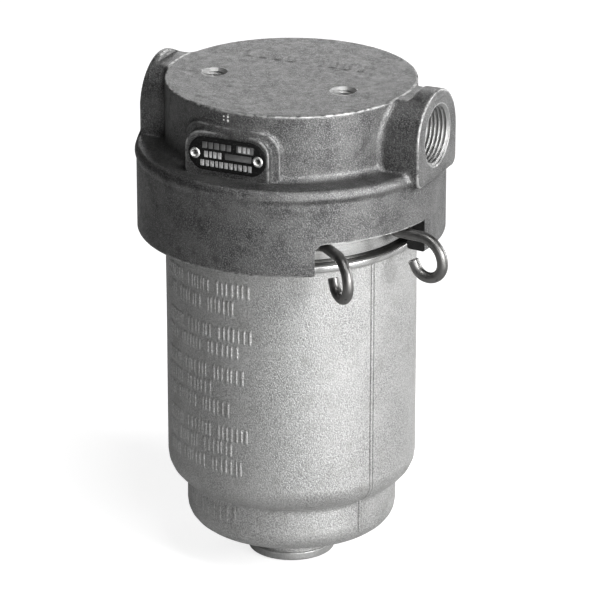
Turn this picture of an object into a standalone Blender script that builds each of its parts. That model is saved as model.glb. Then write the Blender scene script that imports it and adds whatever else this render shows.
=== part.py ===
"""Compressed air line filter.

A die-cast head with two threaded ports hangs from its flat top face. A cast bowl is held in
the head by a spring-wire snap ring, a filter element hangs inside on a tie rod, and an
automatic drain with a test pin sits in the bottom of the bowl.

Frame: the origin is the centre of the flat top face, +Z is up, +X is the port axis towards
the outlet, and the name plate faces -Y. The constants are in millimetres, and MM turns them
into Blender's metres.
"""

import math

import bmesh
import bpy
from mathutils import Matrix, Vector

MM = 0.001
GAP = 0.3  # running gap between touching pieces
STEPS_LARGE = 40  # sides of the head and the bowl, and of what fits them closely
STEPS_SMALL = 24  # sides of the inner pieces

# Head
HEAD_RADIUS = 44.7
HEAD_CEILING_Z = -6.5
LEDGE_Z = -24.0
SKIRT_RADIUS = 55.0
RIM_RADIUS = 55.6
SKIRT_BOTTOM_Z = -55.6
SKIRT_BORE = 48.0
RING_GROOVE_RADIUS = 50.1
RING_GROOVE_Z = (-44.2, -48.8)
SPIGOT_BORE = 43.2
SPIGOT_BORE_Z = (-27.5, -34.0)
CAVITY_RADIUS = 37.0
HUB_RADII = (13.5, 17.0)
HUB_BOTTOM_Z = -32.0
ROD_BOSS_RADIUS = 6.5
ROD_BOSS_BOTTOM_Z = -14.0
ROD_HOLE_RADIUS = 3.3

# Ports, M22 x 1.5
PORT_Z = -14.0
PORT_MINOR_RADIUS = 10.2
PORT_MOUTH_RADIUS = 11.3
PORT_DEPTH = 14.0
INLET_DEPTH = 12.6
OUTLET_FACE_X = 56.3
INLET_FACE_X = -51.8
BOSS_RADIUS = 16.8
BOSS_CENTRE_Z = -14.4
BOSS_FLAT_Z = -0.15  # the bosses are faced down to this as far out as BOSS_FLAT_X
BOSS_FLAT_X = 48.8
BOSS_BOTTOM_Z = -29.5
SPOT_FACE_RADIUS = 17.3  # the inlet's face is machined this wide, into the skirt's rim
PASSAGE_RADIUS = 6.8
PASSAGE_Z = -18.0
BRIDGE_RADIUS = 9.5

# Mounting holes, M8
MOUNT_HOLE_X = (-26.5, 23.5)
MOUNT_HOLE_Y = -7.5
MOUNT_HOLE_RADIUS = 3.4
MOUNT_HOLE_MOUTH_RADIUS = 4.7
MOUNT_HOLE_DEPTH = 10.0
MOUNT_BOSS_RADIUS = 7.5
MOUNT_BOSS_BOTTOM_Z = -13.0

# Snap-ring window in the skirt, as angles about +Z from +X
WINDOW_ANGLES = (-56.6, -7.3)
WINDOW_TOP_Z = -43.5

# Name plate and its pad
PLATE_CENTRE = (-2.6, -15.8)  # x, z
PLATE_SIZE = (29.4, 12.0)
PLATE_THICKNESS = 0.8
PAD_CENTRE_X = -3.2
PAD_Y = -46.0
PAD_HALF_WIDTH = 16.0
PAD_TOP_Z = -8.0
PAD_CORNER = 6.5
RIVET_SPACING = 24.0
RIVET_HEAD_RADIUS = 1.7
RIVET_SHANK_RADIUS = 1.25
RIVET_BORE_RADIUS = 0.8
RIVET_HOLE_RADIUS = 1.6
RIVET_LENGTH = 5.0

# Bowl
SPIGOT_RADIUS = 42.9
SPIGOT_TOP_Z = -27.8
SPIGOT_INNER = 38.0
COLLAR_RADIUS = 47.7
COLLAR_Z = (-34.3, -44.2)
NECK_RADIUS = 43.3
NECK_BOTTOM_Z = -53.6
BEAD_RADIUS = 45.9
BEAD_Z = -56.0
BOWL_RADIUS = 45.0
BOWL_BORE = 40.3
BOWL_CORNER = 9.0
BOWL_CORNER_Z = -141.5
SUMP_RADIUS = 38.0
SUMP_FILLET = 3.0
SUMP_CORNER = 7.7
SUMP_BOTTOM_Z = -168.5
OUTLET_BOSS_RADIUS = 15.5
OUTLET_GROOVE_Z = -177.4
OUTLET_BOTTOM_Z = -180.8
FLOOR_Z = -146.5
PLATE_BORE = 33.0
PLATE_LEDGE_Z = -153.3
CHAMBER_RADIUS = 30.0
CHAMBER_FLOOR_Z = -164.0
OUTLET_BORE = 8.3
CLIP_GROOVE_RADIUS = 34.2
CLIP_GROOVE_Z = (-147.7, -149.7)

# Snap ring: a round wire with a hook at each end
WIRE_RADIUS = 1.95
RING_RADIUS = 47.8
RING_Z = -46.4
RING_BACK_ANGLE = 148.0
RING_BACK_GAP_ANGLE = 0.5
RING_EASE_ANGLE = 3.0  # the bend from the ring into a hook starts this far before its end
RING_EASE_LENGTH = 2.6
RING_LEFT = {"end_angle": -51.9, "hook_angle": -39.4}
RING_RIGHT = {"end_angle": -17.2, "hook_angle": -6.2}
HOOK_REACH = 10.9
HOOK_BEND = 9.1
HOOK_CURL = 5.6
HOOK_CURL_ANGLE = 154.0
HOOK_TIP = 2.6

# Filter element and tie rod
BELL_RADII = (33.8, 35.0)
BELL_BOTTOM_Z = -105.0
ELEMENT_RADII = (14.0, 26.5)
ELEMENT_Z = (-39.2, -111.8)
CAP_RADIUS = 27.5
ROD_RADIUS = 3.0
ROD_Z = (-8.0, -124.0)
NUT_FLATS = 10.0

# Drain
SEAT_Z = -162.2
STEM_RADIUS = 3.0
STEM_TOP_Z = -143.2
SPRING_Z = (-147.3, -157.3)
SPRING_RADIUS = 5.0
SPRING_WIRE = 0.5
SPRING_TURNS = 5
PIN_RADIUS = 2.0
STRAINER_RADIUS = 20.6


# --- scene and helpers ---------------------------------------------------------------------


def clear_scene():
    for obj in list(bpy.data.objects):
        bpy.data.objects.remove(obj, do_unlink=True)


def collection(name):
    found = bpy.data.collections.new(name)
    bpy.context.scene.collection.children.link(found)
    return found


def material(name, colour, metallic, roughness):
    made = bpy.data.materials.new(name)
    made.use_nodes = True
    made.diffuse_color = (*colour, 1.0)
    shader = made.node_tree.nodes["Principled BSDF"]
    shader.inputs["Base Color"].default_value = (*colour, 1.0)
    shader.inputs["Metallic"].default_value = metallic
    shader.inputs["Roughness"].default_value = roughness
    return made


def arc(centre, radius, start, end, count):
    """Points of an arc in a profile's (radius, z) plane; angles in degrees from +radius."""
    points = []
    for n in range(count + 1):
        angle = math.radians(start + (end - start) * n / count)
        points.append((centre[0] + radius * math.cos(angle), centre[1] + radius * math.sin(angle)))
    return points


def place(name, mesh, paint, at=(0, 0, 0), turn=None, cutter=False):
    obj = bpy.data.objects.new(name, mesh)
    if paint:
        mesh.materials.append(paint)
    (CUTTERS if cutter else PARTS).objects.link(obj)
    if cutter:
        obj.hide_render = True
        obj.display_type = "WIRE"
    obj.location = Vector(at) * MM
    if turn:
        obj.rotation_euler = turn
    return obj


def turned(name, profile, paint=None, steps=STEPS_SMALL, at=(0, 0, 0), turn=None, cutter=False):
    """A solid of revolution about Z. The profile runs down its outer side, and a profile that
    stays clear of the axis is closed on itself."""
    mesh = bpy.data.meshes.new(name)
    count = len(profile)
    edges = [(n, n + 1) for n in range(count - 1)]
    if profile[0][0] > 0:
        edges.append((count - 1, 0))
    mesh.from_pydata([(r * MM, 0, z * MM) for r, z in profile], edges, [])
    obj = place(name, mesh, paint, at, turn, cutter)
    screw = obj.modifiers.new("Turn", "SCREW")
    screw.angle = 2 * math.pi
    screw.steps = screw.render_steps = steps
    screw.use_merge_vertices = True
    screw.merge_threshold = 0.00001
    return obj


def ring(name, radii, heights, paint=None, steps=STEPS_SMALL, **rest):
    """A plain washer or tube, from its inner and outer radius and its top and bottom."""
    inner, outer = radii
    top, bottom = heights
    profile = [(outer, top), (outer, bottom), (inner, bottom), (inner, top)]
    return turned(name, profile, paint, steps, **rest)


def rod(name, radius, heights, steps=STEPS_SMALL, **rest):
    """A plain round bar along Z."""
    top, bottom = heights
    return turned(name, [(0, top), (radius, top), (radius, bottom), (0, bottom)], None, steps, **rest)


def slab(name, outline, lower, upper, paint=None, turn=None, at=(0, 0, 0), cutter=False):
    """A flat outline in XY, anticlockwise, raised from z = lower to z = upper."""
    mesh = bpy.data.meshes.new(name)
    shape = bmesh.new()
    face = shape.faces.new([shape.verts.new((x * MM, y * MM, lower * MM)) for x, y in outline])
    raised = bmesh.ops.extrude_face_region(shape, geom=[face])["geom"]
    tops = [v for v in raised if isinstance(v, bmesh.types.BMVert)]
    bmesh.ops.translate(shape, verts=tops, vec=(0, 0, (upper - lower) * MM))
    bmesh.ops.recalc_face_normals(shape, faces=shape.faces)
    shape.to_mesh(mesh)
    shape.free()
    return place(name, mesh, paint, at, turn, cutter)


def boolean(obj, other, operation):
    step = obj.modifiers.new(f"{operation.title()} {other.name}", "BOOLEAN")
    step.operation = operation
    step.object = other


def wire(name, points, radius, paint):
    """A round wire along these points."""
    curve = bpy.data.curves.new(name, "CURVE")
    curve.dimensions = "3D"
    curve.bevel_depth = radius * MM
    curve.bevel_resolution = 2
    curve.use_fill_caps = True
    spline = curve.splines.new("POLY")
    spline.points.add(len(points) - 1)
    for point, place_at in zip(spline.points, points):
        point.co = (*(Vector(place_at) * MM), 1.0)
    curve.materials.append(paint)
    obj = bpy.data.objects.new(name, curve)
    PARTS.objects.link(obj)
    return obj


# --- head ----------------------------------------------------------------------------------

ALONG_X = (0, math.pi / 2, 0)  # turns a piece made about Z so that its top points to +X
ALONG_MINUS_X = (0, -math.pi / 2, 0)
FACE_FRONT = (math.pi / 2, 0, 0)  # turns a slab so that its upper face points to -Y


def head_outside():
    profile = [(0, 0), (HEAD_RADIUS - 1.2, 0), (HEAD_RADIUS, -1.2)]
    profile += arc((HEAD_RADIUS + 2, LEDGE_Z + 2), 2, 180, 270, 3)
    profile += arc((RIM_RADIUS - 2.6, LEDGE_Z - 2.8), 2.6, 80, 0, 4)
    profile += [(SKIRT_RADIUS, -30), (SKIRT_RADIUS, SKIRT_BOTTOM_Z), (0, SKIRT_BOTTOM_Z)]
    return profile


def head_inside():
    """The hollow of the head as a cutter: skirt bore, ring groove, spigot bore, and the ring
    channel round the hub, which is left standing."""
    below = SKIRT_BOTTOM_Z - 5
    profile = [
        (0, HUB_BOTTOM_Z),
        (HUB_RADII[1], HUB_BOTTOM_Z),
        (HUB_RADII[1], HEAD_CEILING_Z),
        (CAVITY_RADIUS, HEAD_CEILING_Z),
        (CAVITY_RADIUS, SPIGOT_BORE_Z[0]),
        (SPIGOT_BORE, SPIGOT_BORE_Z[0]),
        (SPIGOT_BORE, SPIGOT_BORE_Z[1]),
        (SKIRT_BORE, SPIGOT_BORE_Z[1]),
        (SKIRT_BORE, RING_GROOVE_Z[0]),
        (RING_GROOVE_RADIUS, RING_GROOVE_Z[0]),
        (RING_GROOVE_RADIUS, RING_GROOVE_Z[1]),
        (SKIRT_BORE, RING_GROOVE_Z[1]),
        (SKIRT_BORE, SKIRT_BOTTOM_Z + 0.6),
        (SKIRT_BORE + 0.6, SKIRT_BOTTOM_Z),
        (SKIRT_BORE + 0.6, below),
        (0, below),
    ]
    return turned("cut_head_inside", profile, None, STEPS_LARGE, cutter=True)


def hub_inside():
    """The hub's bore with the tie-rod boss left standing, as a cutter."""
    profile = [
        (0, ROD_BOSS_BOTTOM_Z),
        (ROD_BOSS_RADIUS, ROD_BOSS_BOTTOM_Z),
        (ROD_BOSS_RADIUS, HEAD_CEILING_Z),
        (HUB_RADII[0], HEAD_CEILING_Z),
        (HUB_RADII[0], HUB_BOTTOM_Z - 1),
        (0, HUB_BOTTOM_Z - 1),
    ]
    return turned("cut_hub_inside", profile, None, STEPS_LARGE, cutter=True)


def port_boss(name, face_x):
    """A boss with a round crown and straight flanks. Its crown is faced off next to the drum and
    stands a little above the top face further out."""
    outline = [(BOSS_RADIUS, BOSS_BOTTOM_Z + 3)] + arc((0, BOSS_CENTRE_Z), BOSS_RADIUS, 0, 180, 12)
    outline += [(-BOSS_RADIUS, BOSS_BOTTOM_Z + 3)]
    outline += [(3 - BOSS_RADIUS, BOSS_BOTTOM_Z), (BOSS_RADIUS - 3, BOSS_BOTTOM_Z)]
    side = 1 if face_x > 0 else -1
    # In the slab's own frame X is the part's Y and Y is its Z, and it is raised along X.
    frame = Matrix(((0, 0, 1), (1, 0, 0), (0, 1, 0))).to_euler()
    low, high = sorted((face_x, 30.0 * side))
    boss = slab(name, outline, low, high, turn=frame, cutter=True)
    low, high = sorted((BOSS_FLAT_X * side, 28.0 * side))
    across = BOSS_RADIUS + 2
    outline = [(low, -across), (high, -across), (high, across), (low, across)]
    boolean(boss, slab(f"{name}_facing", outline, BOSS_FLAT_Z, 6.0, cutter=True), "DIFFERENCE")
    return boss


def plate_pad():
    """The raised pad that the name plate is riveted to. It runs down to the ledge."""
    left, right = PAD_CENTRE_X - PAD_HALF_WIDTH, PAD_CENTRE_X + PAD_HALF_WIDTH
    outline = [(left, LEDGE_Z - 1), (right, LEDGE_Z - 1)]
    outline += arc((right - PAD_CORNER, PAD_TOP_Z - PAD_CORNER), PAD_CORNER, 0, 90, 5)
    outline += arc((left + PAD_CORNER, PAD_TOP_Z - PAD_CORNER), PAD_CORNER, 90, 180, 5)
    return slab("add_plate_pad", outline, 38.5, -PAD_Y, turn=FACE_FRONT, cutter=True)


def window_cutter():
    """The gap in the skirt that the snap ring's hooks come out of."""
    low, high = WINDOW_ANGLES
    outline = arc((0, 0), RIM_RADIUS + 4, low, high, 8) + arc((0, 0), 46.0, high, low, 8)
    return slab("cut_window", outline, SKIRT_BOTTOM_Z - 5, WINDOW_TOP_Z, cutter=True)


def port_bore(name, face_x, turn, depth, inner_x):
    """The tapped socket with its chamfered mouth, and the passage behind it."""
    mouth = PORT_MOUTH_RADIUS
    profile = [
        (0, 2),
        (mouth + 0.01, 2),
        (mouth, 0),
        (PORT_MINOR_RADIUS, -1.2),
        (PORT_MINOR_RADIUS, -depth),
        (0, -depth - 2.5),
    ]
    socket = turned(f"{name}_socket", profile, steps=32, at=(face_x, 0, PORT_Z), turn=turn, cutter=True)
    reach = abs(face_x) - depth + 4
    passage = rod(f"{name}_passage", PASSAGE_RADIUS, (reach, inner_x),
                  at=(0, 0, PASSAGE_Z), turn=turn, cutter=True)
    return [socket, passage]


def mount_hole(name, x):
    profile = [
        (0, 2),
        (MOUNT_HOLE_MOUTH_RADIUS, 2),
        (MOUNT_HOLE_MOUTH_RADIUS, 0),
        (MOUNT_HOLE_RADIUS, MOUNT_HOLE_RADIUS - MOUNT_HOLE_MOUTH_RADIUS),
        (MOUNT_HOLE_RADIUS, -MOUNT_HOLE_DEPTH),
        (0, -MOUNT_HOLE_DEPTH - 1.5),
    ]
    return turned(name, profile, at=(x, MOUNT_HOLE_Y, 0), cutter=True)


def make_head():
    head = turned("head_casting", head_outside(), PAINT["head"], STEPS_LARGE)
    added = [port_boss("add_outlet_boss", OUTLET_FACE_X), port_boss("add_inlet_boss", INLET_FACE_X)]
    for other in added + [plate_pad()]:
        boolean(head, other, "UNION")
    boolean(head, head_inside(), "DIFFERENCE")
    boolean(head, hub_inside(), "DIFFERENCE")
    bridge = rod("add_outlet_bridge", BRIDGE_RADIUS, (CAVITY_RADIUS + 2, HUB_RADII[0] + 1),
                 at=(0, 0, PASSAGE_Z), turn=ALONG_X, cutter=True)
    boolean(head, bridge, "UNION")
    for n, x in enumerate(MOUNT_HOLE_X):
        boss = rod(f"add_mount_boss_{n}", MOUNT_BOSS_RADIUS, (HEAD_CEILING_Z + 2, MOUNT_BOSS_BOTTOM_Z),
                   at=(x, MOUNT_HOLE_Y, 0), cutter=True)
        boolean(head, boss, "UNION")
    cuts = [mount_hole(f"cut_mount_hole_{n}", x) for n, x in enumerate(MOUNT_HOLE_X)]
    cuts += port_bore("cut_outlet", OUTLET_FACE_X, ALONG_X, PORT_DEPTH, HUB_RADII[0] - 2)
    cuts += port_bore("cut_inlet", INLET_FACE_X, ALONG_MINUS_X, INLET_DEPTH, CAVITY_RADIUS - 4)
    cuts.append(rod("cut_inlet_spot_face", SPOT_FACE_RADIUS, (10 - INLET_FACE_X, -INLET_FACE_X),
                    at=(0, 0, PORT_Z), turn=ALONG_MINUS_X, steps=32, cutter=True))
    cuts.append(window_cutter())
    cuts.append(rod("cut_rod_hole", ROD_HOLE_RADIUS, (ROD_Z[0] + GAP, ROD_BOSS_BOTTOM_Z - 2), cutter=True))
    for n, x in enumerate(rivet_places()):
        cuts.append(rod(f"cut_rivet_{n}", RIVET_HOLE_RADIUS, (-PAD_Y + 2, -PAD_Y - RIVET_LENGTH - 1),
                        at=(x, 0, PLATE_CENTRE[1]), turn=FACE_FRONT, cutter=True))
    for other in cuts:
        boolean(head, other, "DIFFERENCE")


# --- name plate ----------------------------------------------------------------------------


def rivet_places():
    half = RIVET_SPACING / 2
    return PLATE_CENTRE[0] - half, PLATE_CENTRE[0] + half


def make_name_plate():
    x, z = PLATE_CENTRE
    end = PLATE_SIZE[1] / 2
    run = PLATE_SIZE[0] / 2 - end
    outline = arc((x + run, z), end, -90, 90, 8) + arc((x - run, z), end, 90, 270, 8)
    back = -PAD_Y + GAP
    front = back + PLATE_THICKNESS
    plate = slab("name_plate", outline, back, front, PAINT["plate"], FACE_FRONT)
    for n, at in enumerate(rivet_places()):
        hole = rod(f"cut_plate_hole_{n}", RIVET_HOLE_RADIUS, (front + 2, back - 2),
                   at=(at, 0, z), turn=FACE_FRONT, cutter=True)
        boolean(plate, hole, "DIFFERENCE")
    profile = [
        (RIVET_BORE_RADIUS, front + GAP + 0.5),
        (RIVET_HEAD_RADIUS + 0.3, front + GAP + 0.2),
        (RIVET_HEAD_RADIUS + 0.3, front + GAP),
        (RIVET_SHANK_RADIUS, front + GAP),
        (RIVET_SHANK_RADIUS, front - RIVET_LENGTH),
        (RIVET_BORE_RADIUS, front - RIVET_LENGTH),
    ]
    for side, at in zip(("left", "right"), rivet_places()):
        turned(f"plate_rivet_{side}", profile, PAINT["rivet"], 16, at=(at, 0, z), turn=FACE_FRONT)


# --- bowl ----------------------------------------------------------------------------------


def bowl_outside():
    """The outer side of the bowl, from the top of its spigot to its outlet."""
    side = [
        (SPIGOT_RADIUS - 0.6, SPIGOT_TOP_Z),
        (SPIGOT_RADIUS, SPIGOT_TOP_Z - 0.6),
        (SPIGOT_RADIUS, -29.4),
        (SPIGOT_RADIUS - 2.6, -29.4),
        (SPIGOT_RADIUS - 2.6, -32.4),
        (SPIGOT_RADIUS, -32.4),
        (SPIGOT_RADIUS, COLLAR_Z[0]),
        (COLLAR_RADIUS, COLLAR_Z[0]),
        (COLLAR_RADIUS, COLLAR_Z[1]),
        (NECK_RADIUS, COLLAR_Z[1]),
        (NECK_RADIUS, NECK_BOTTOM_Z),
        (NECK_RADIUS - 0.5, NECK_BOTTOM_Z - 0.4),
        (NECK_RADIUS - 0.5, BEAD_Z + 1.0),
    ]
    side += arc((BEAD_RADIUS - 1.0, BEAD_Z), 1.0, 80, -70, 3)
    side.append((BOWL_RADIUS, BEAD_Z - 1.2))
    # The corner meets the narrower lower section in a small hollow fillet.
    centre = (BOWL_RADIUS - BOWL_CORNER, BOWL_CORNER_Z)
    out = SUMP_RADIUS + SUMP_FILLET - centre[0]
    drop = math.sqrt((BOWL_CORNER + SUMP_FILLET) ** 2 - out**2)
    meet = math.degrees(math.atan2(-drop, out))
    side += arc(centre, BOWL_CORNER, 0, meet, 4)
    fillet = (SUMP_RADIUS + SUMP_FILLET, BOWL_CORNER_Z - drop)
    side += arc(fillet, SUMP_FILLET, 180 + meet, 180, 3)[1:]
    side += arc((SUMP_RADIUS - SUMP_CORNER, SUMP_BOTTOM_Z + SUMP_CORNER), SUMP_CORNER, 0, -90, 4)
    side += [
        (OUTLET_BOSS_RADIUS, SUMP_BOTTOM_Z),
        (OUTLET_BOSS_RADIUS, OUTLET_GROOVE_Z + 0.4),
        (OUTLET_BOSS_RADIUS - 0.6, OUTLET_GROOVE_Z),
        (OUTLET_BOSS_RADIUS + 0.3, OUTLET_GROOVE_Z - 0.4),
        (OUTLET_BOSS_RADIUS + 0.3, OUTLET_BOTTOM_Z + 1.0),
        (OUTLET_BOSS_RADIUS - 0.7, OUTLET_BOTTOM_Z),
    ]
    return side


def bowl_inside():
    """The inner side of the bowl, from its outlet bore up to the mouth."""
    side = [
        (OUTLET_BORE, OUTLET_BOTTOM_Z),
        (OUTLET_BORE, CHAMBER_FLOOR_Z),
        (CHAMBER_RADIUS - 3, CHAMBER_FLOOR_Z),
        (CHAMBER_RADIUS, CHAMBER_FLOOR_Z + 3),
        (CHAMBER_RADIUS, PLATE_LEDGE_Z),
        (PLATE_BORE, PLATE_LEDGE_Z),
        (PLATE_BORE, CLIP_GROOVE_Z[1]),
        (CLIP_GROOVE_RADIUS, CLIP_GROOVE_Z[1]),
        (CLIP_GROOVE_RADIUS, CLIP_GROOVE_Z[0]),
        (PLATE_BORE, CLIP_GROOVE_Z[0]),
        (PLATE_BORE, FLOOR_Z),
    ]
    side += arc((BOWL_BORE - 4, FLOOR_Z + 4), 4, -90, 0, 2)
    side += [(BOWL_BORE, -46.5), (SPIGOT_INNER, -44.0), (SPIGOT_INNER, SPIGOT_TOP_Z)]
    return side


def make_bowl():
    turned("bowl_casting", bowl_outside() + bowl_inside(), PAINT["bowl"], STEPS_LARGE)
    centre = (SPIGOT_RADIUS - 1.15, -30.9)
    turned("bowl_o_ring", arc(centre, 1.1, 90, -210, 5), PAINT["rubber"], STEPS_LARGE)


# --- snap ring -----------------------------------------------------------------------------


def hook_points(root, angle):
    """The hook in its own upright plane: out, down, and curled back under."""
    out = Vector((math.cos(math.radians(angle)), math.sin(math.radians(angle)), 0))
    heading = 0.0
    at = Vector(root)
    points = []

    def go(length):
        nonlocal at
        at = at + length * (math.cos(heading) * out + Vector((0, 0, math.sin(heading))))
        points.append(at.copy())

    def bend(radius, turn, count):
        nonlocal heading
        step = turn / count
        for _ in range(count):
            heading -= step / 2
            go(2 * radius * math.sin(step / 2))
            heading -= step / 2

    go(HOOK_REACH)
    bend(HOOK_BEND, math.pi / 2, 6)
    bend(HOOK_CURL, math.radians(HOOK_CURL_ANGLE), 8)
    go(HOOK_TIP)
    return points


def ring_point(angle):
    angle = math.radians(angle)
    return Vector((RING_RADIUS * math.cos(angle), RING_RADIUS * math.sin(angle), RING_Z))


def make_snap_ring(name, back_angle, end_angle, hook_angle):
    """Half of the wire ring, from the middle of its back to the tip of its hook."""
    ease = math.copysign(RING_EASE_ANGLE, end_angle - back_angle)
    last = end_angle - ease
    count = 20
    points = [ring_point(back_angle + (last - back_angle) * n / count) for n in range(count + 1)]
    root = ring_point(end_angle)
    hook = hook_points(root, hook_angle)
    after = root + RING_EASE_LENGTH * (hook[0] - root).normalized()
    for n in range(1, 5):
        t = n / 4
        points.append((1 - t) ** 2 * points[count] + 2 * t * (1 - t) * root + t**2 * after)
    return wire(name, points + hook, WIRE_RADIUS, PAINT["wire"])


# --- filter element ------------------------------------------------------------------------


def make_element():
    hub_in, hub_out = HUB_RADII
    top = HUB_BOTTOM_Z - GAP
    ring("hub_gasket", (hub_in + GAP, hub_out - 0.2), (top, top - 1.5), PAINT["rubber"])
    roof = top - 1.5 - GAP
    sheet = BELL_RADII[1] - BELL_RADII[0]
    bell = [(hub_in, roof)] + arc((BELL_RADII[1] - 4, roof - 4), 4, 90, 0, 3)
    bell += [(BELL_RADII[1], BELL_BOTTOM_Z), (BELL_RADII[0], BELL_BOTTOM_Z)]
    bell += arc((BELL_RADII[1] - 4, roof - 4), 4 - sheet, 0, 90, 3) + [(hub_in, roof - sheet)]
    turned("baffle_bell", bell, PAINT["sheet"])
    seal = roof - sheet - GAP
    ring("element_gasket_top", (hub_in + GAP, 18.0), (seal, ELEMENT_Z[0] + 1.8), PAINT["rubber"])

    cap_top = ELEMENT_Z[0] + 1.5
    inner_rim = CAP_RADIUS - 0.6
    lid = [
        (CAP_RADIUS, cap_top),
        (CAP_RADIUS, cap_top - 4.0),
        (inner_rim, cap_top - 4.0),
        (inner_rim, ELEMENT_Z[0] + GAP),
        (hub_in + GAP, ELEMENT_Z[0] + GAP),
        (hub_in + GAP, cap_top),
    ]
    turned("element_top_cap", lid, PAINT["zinc"])
    ring("element_core_tube", (ELEMENT_RADII[0] - 1.0, ELEMENT_RADII[0] - GAP), ELEMENT_Z, PAINT["zinc"])
    ring("filter_media", ELEMENT_RADII, ELEMENT_Z, PAINT["felt"], 32)

    cap_bottom = ELEMENT_Z[1] - 1.5
    bore = ROD_RADIUS + 0.5
    base = [
        (CAP_RADIUS, cap_bottom + 4.0),
        (CAP_RADIUS, cap_bottom),
        (bore, cap_bottom),
        (bore, ELEMENT_Z[1] - GAP),
        (inner_rim, ELEMENT_Z[1] - GAP),
        (inner_rim, cap_bottom + 4.0),
    ]
    turned("element_bottom_cap", base, PAINT["zinc"])
    z = cap_bottom - GAP
    ring("element_gasket_bottom", (bore, 9.0), (z, z - 1.4), PAINT["rubber"])
    z -= 1.4 + GAP
    ring("tie_rod_washer", (bore - 0.1, 9.0), (z, z - 1.2), PAINT["zinc"])
    z -= 1.2 + GAP
    corner = NUT_FLATS / math.sqrt(3)
    outline = arc((0, 0), corner, 0, 300, 5)
    nut = slab("tie_rod_nut", outline, z - 5.0, z, PAINT["zinc"])
    boolean(nut, rod("cut_nut_bore", ROD_HOLE_RADIUS, (z + 2, z - 7), cutter=True), "DIFFERENCE")
    rod_profile = [
        (0, ROD_Z[0]),
        (ROD_RADIUS - 0.6, ROD_Z[0]),
        (ROD_RADIUS, ROD_Z[0] - 0.6),
        (ROD_RADIUS, ROD_Z[1] + 0.6),
        (ROD_RADIUS - 0.6, ROD_Z[1]),
        (0, ROD_Z[1]),
    ]
    turned("tie_rod", rod_profile, PAINT["zinc"])


# --- drain ---------------------------------------------------------------------------------


def make_drain_plate():
    rim, rim_groove = PLATE_BORE - GAP, 30.4
    top, bottom = -149.8, PLATE_LEDGE_Z + GAP
    boss_top = SPRING_Z[0] + 3.3
    profile = [
        (STEM_RADIUS + 0.4, boss_top),
        (8.5, boss_top),
        (8.5, top),
        (rim, top),
        (rim, -150.4),
        (rim_groove, -150.4),
        (rim_groove, -152.6),
        (rim, -152.6),
        (rim, bottom),
        (6.8, bottom),
        (6.8, SPRING_Z[0] + GAP),
        (STEM_RADIUS + 0.4, SPRING_Z[0] + GAP),
    ]
    plate = turned("drain_seat_plate", profile, PAINT["brass"], 32)
    for n in range(6):
        angle = math.radians(60 * n + 30)
        hole = rod(f"cut_plate_drain_{n}", 2.0, (top + 2, bottom - 2), steps=12,
                   at=(14 * math.cos(angle), 14 * math.sin(angle), 0), cutter=True)
        boolean(plate, hole, "DIFFERENCE")
    turned("drain_seat_o_ring", arc((31.55, -151.5), 0.85, 90, -210, 5), PAINT["rubber"], 32)

    clip = ring("drain_retaining_ring", (30.6, CLIP_GROOVE_RADIUS - GAP), (-148.0, -149.4),
                PAINT["wire"], 32)
    outline = [(25, -5), (40, -8), (40, 8), (25, 5)]
    boolean(clip, slab("cut_clip_gap", outline, -152, -145, cutter=True), "DIFFERENCE")

    ring("strainer_gauze", (STRAINER_RADIUS - 0.6, STRAINER_RADIUS), (-137.6, top + GAP),
         PAINT["sheet"], 32)
    cap = [
        (0, -136.1),
        (STRAINER_RADIUS + 1.0, -136.1),
        (STRAINER_RADIUS + 1.0, -139.5),
        (STRAINER_RADIUS + GAP, -139.5),
        (STRAINER_RADIUS + GAP, -137.3),
        (0, -137.3),
    ]
    turned("strainer_cap", cap, PAINT["sheet"], 32)


def make_drain_valve():
    bush = [
        (5.0, SEAT_Z),
        (6.2, SEAT_Z),
        (6.2, SEAT_Z - 0.7),
        (10.0, SEAT_Z - 0.7),
        (10.0, CHAMBER_FLOOR_Z + GAP),
        (OUTLET_BORE - GAP, CHAMBER_FLOOR_Z + GAP),
        (OUTLET_BORE - GAP, OUTLET_BOTTOM_Z + 0.6),
        (4.5, OUTLET_BOTTOM_Z + 0.6),
        (4.5, SEAT_Z - 0.5),
    ]
    turned("outlet_seat_bush", bush, PAINT["brass"])
    seal_top = SEAT_Z + GAP + 1.5
    ring("drain_valve_seal", (PIN_RADIUS + 0.4, 7.0), (seal_top, SEAT_Z + GAP), PAINT["rubber"])
    under, shoulder = seal_top + GAP, SPRING_Z[1] - GAP
    pin_top = under + 5.8
    body = [
        (0, STEM_TOP_Z),
        (STEM_RADIUS - 0.5, STEM_TOP_Z),
        (STEM_RADIUS, STEM_TOP_Z - 0.5),
        (STEM_RADIUS, shoulder),
        (8.0, shoulder),
        (8.0, SEAT_Z + 0.8),
        (7.3, SEAT_Z + 0.8),
        (7.3, under),
        (PIN_RADIUS + GAP, under),
        (PIN_RADIUS + GAP, pin_top + GAP),
        (0, pin_top + GAP),
    ]
    turned("drain_valve_body", body, PAINT["brass"])
    pin = [
        (0, pin_top),
        (PIN_RADIUS, pin_top),
        (PIN_RADIUS, -177.4),
        (3.2, -177.8),
        (3.2, -179.0),
        (2.7, -179.5),
        (0, -179.5),
    ]
    turned("test_pin", pin, PAINT["brass"], 16)
    count = SPRING_TURNS * 8
    top, bottom = SPRING_Z[0] - SPRING_WIRE, SPRING_Z[1] + SPRING_WIRE
    coil = []
    for n in range(count + 1):
        angle = 2 * math.pi * SPRING_TURNS * n / count
        z = top + (bottom - top) * n / count
        coil.append((SPRING_RADIUS * math.cos(angle), SPRING_RADIUS * math.sin(angle), z))
    wire("drain_valve_spring", coil, SPRING_WIRE, PAINT["wire"])


# --- build ---------------------------------------------------------------------------------

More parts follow.
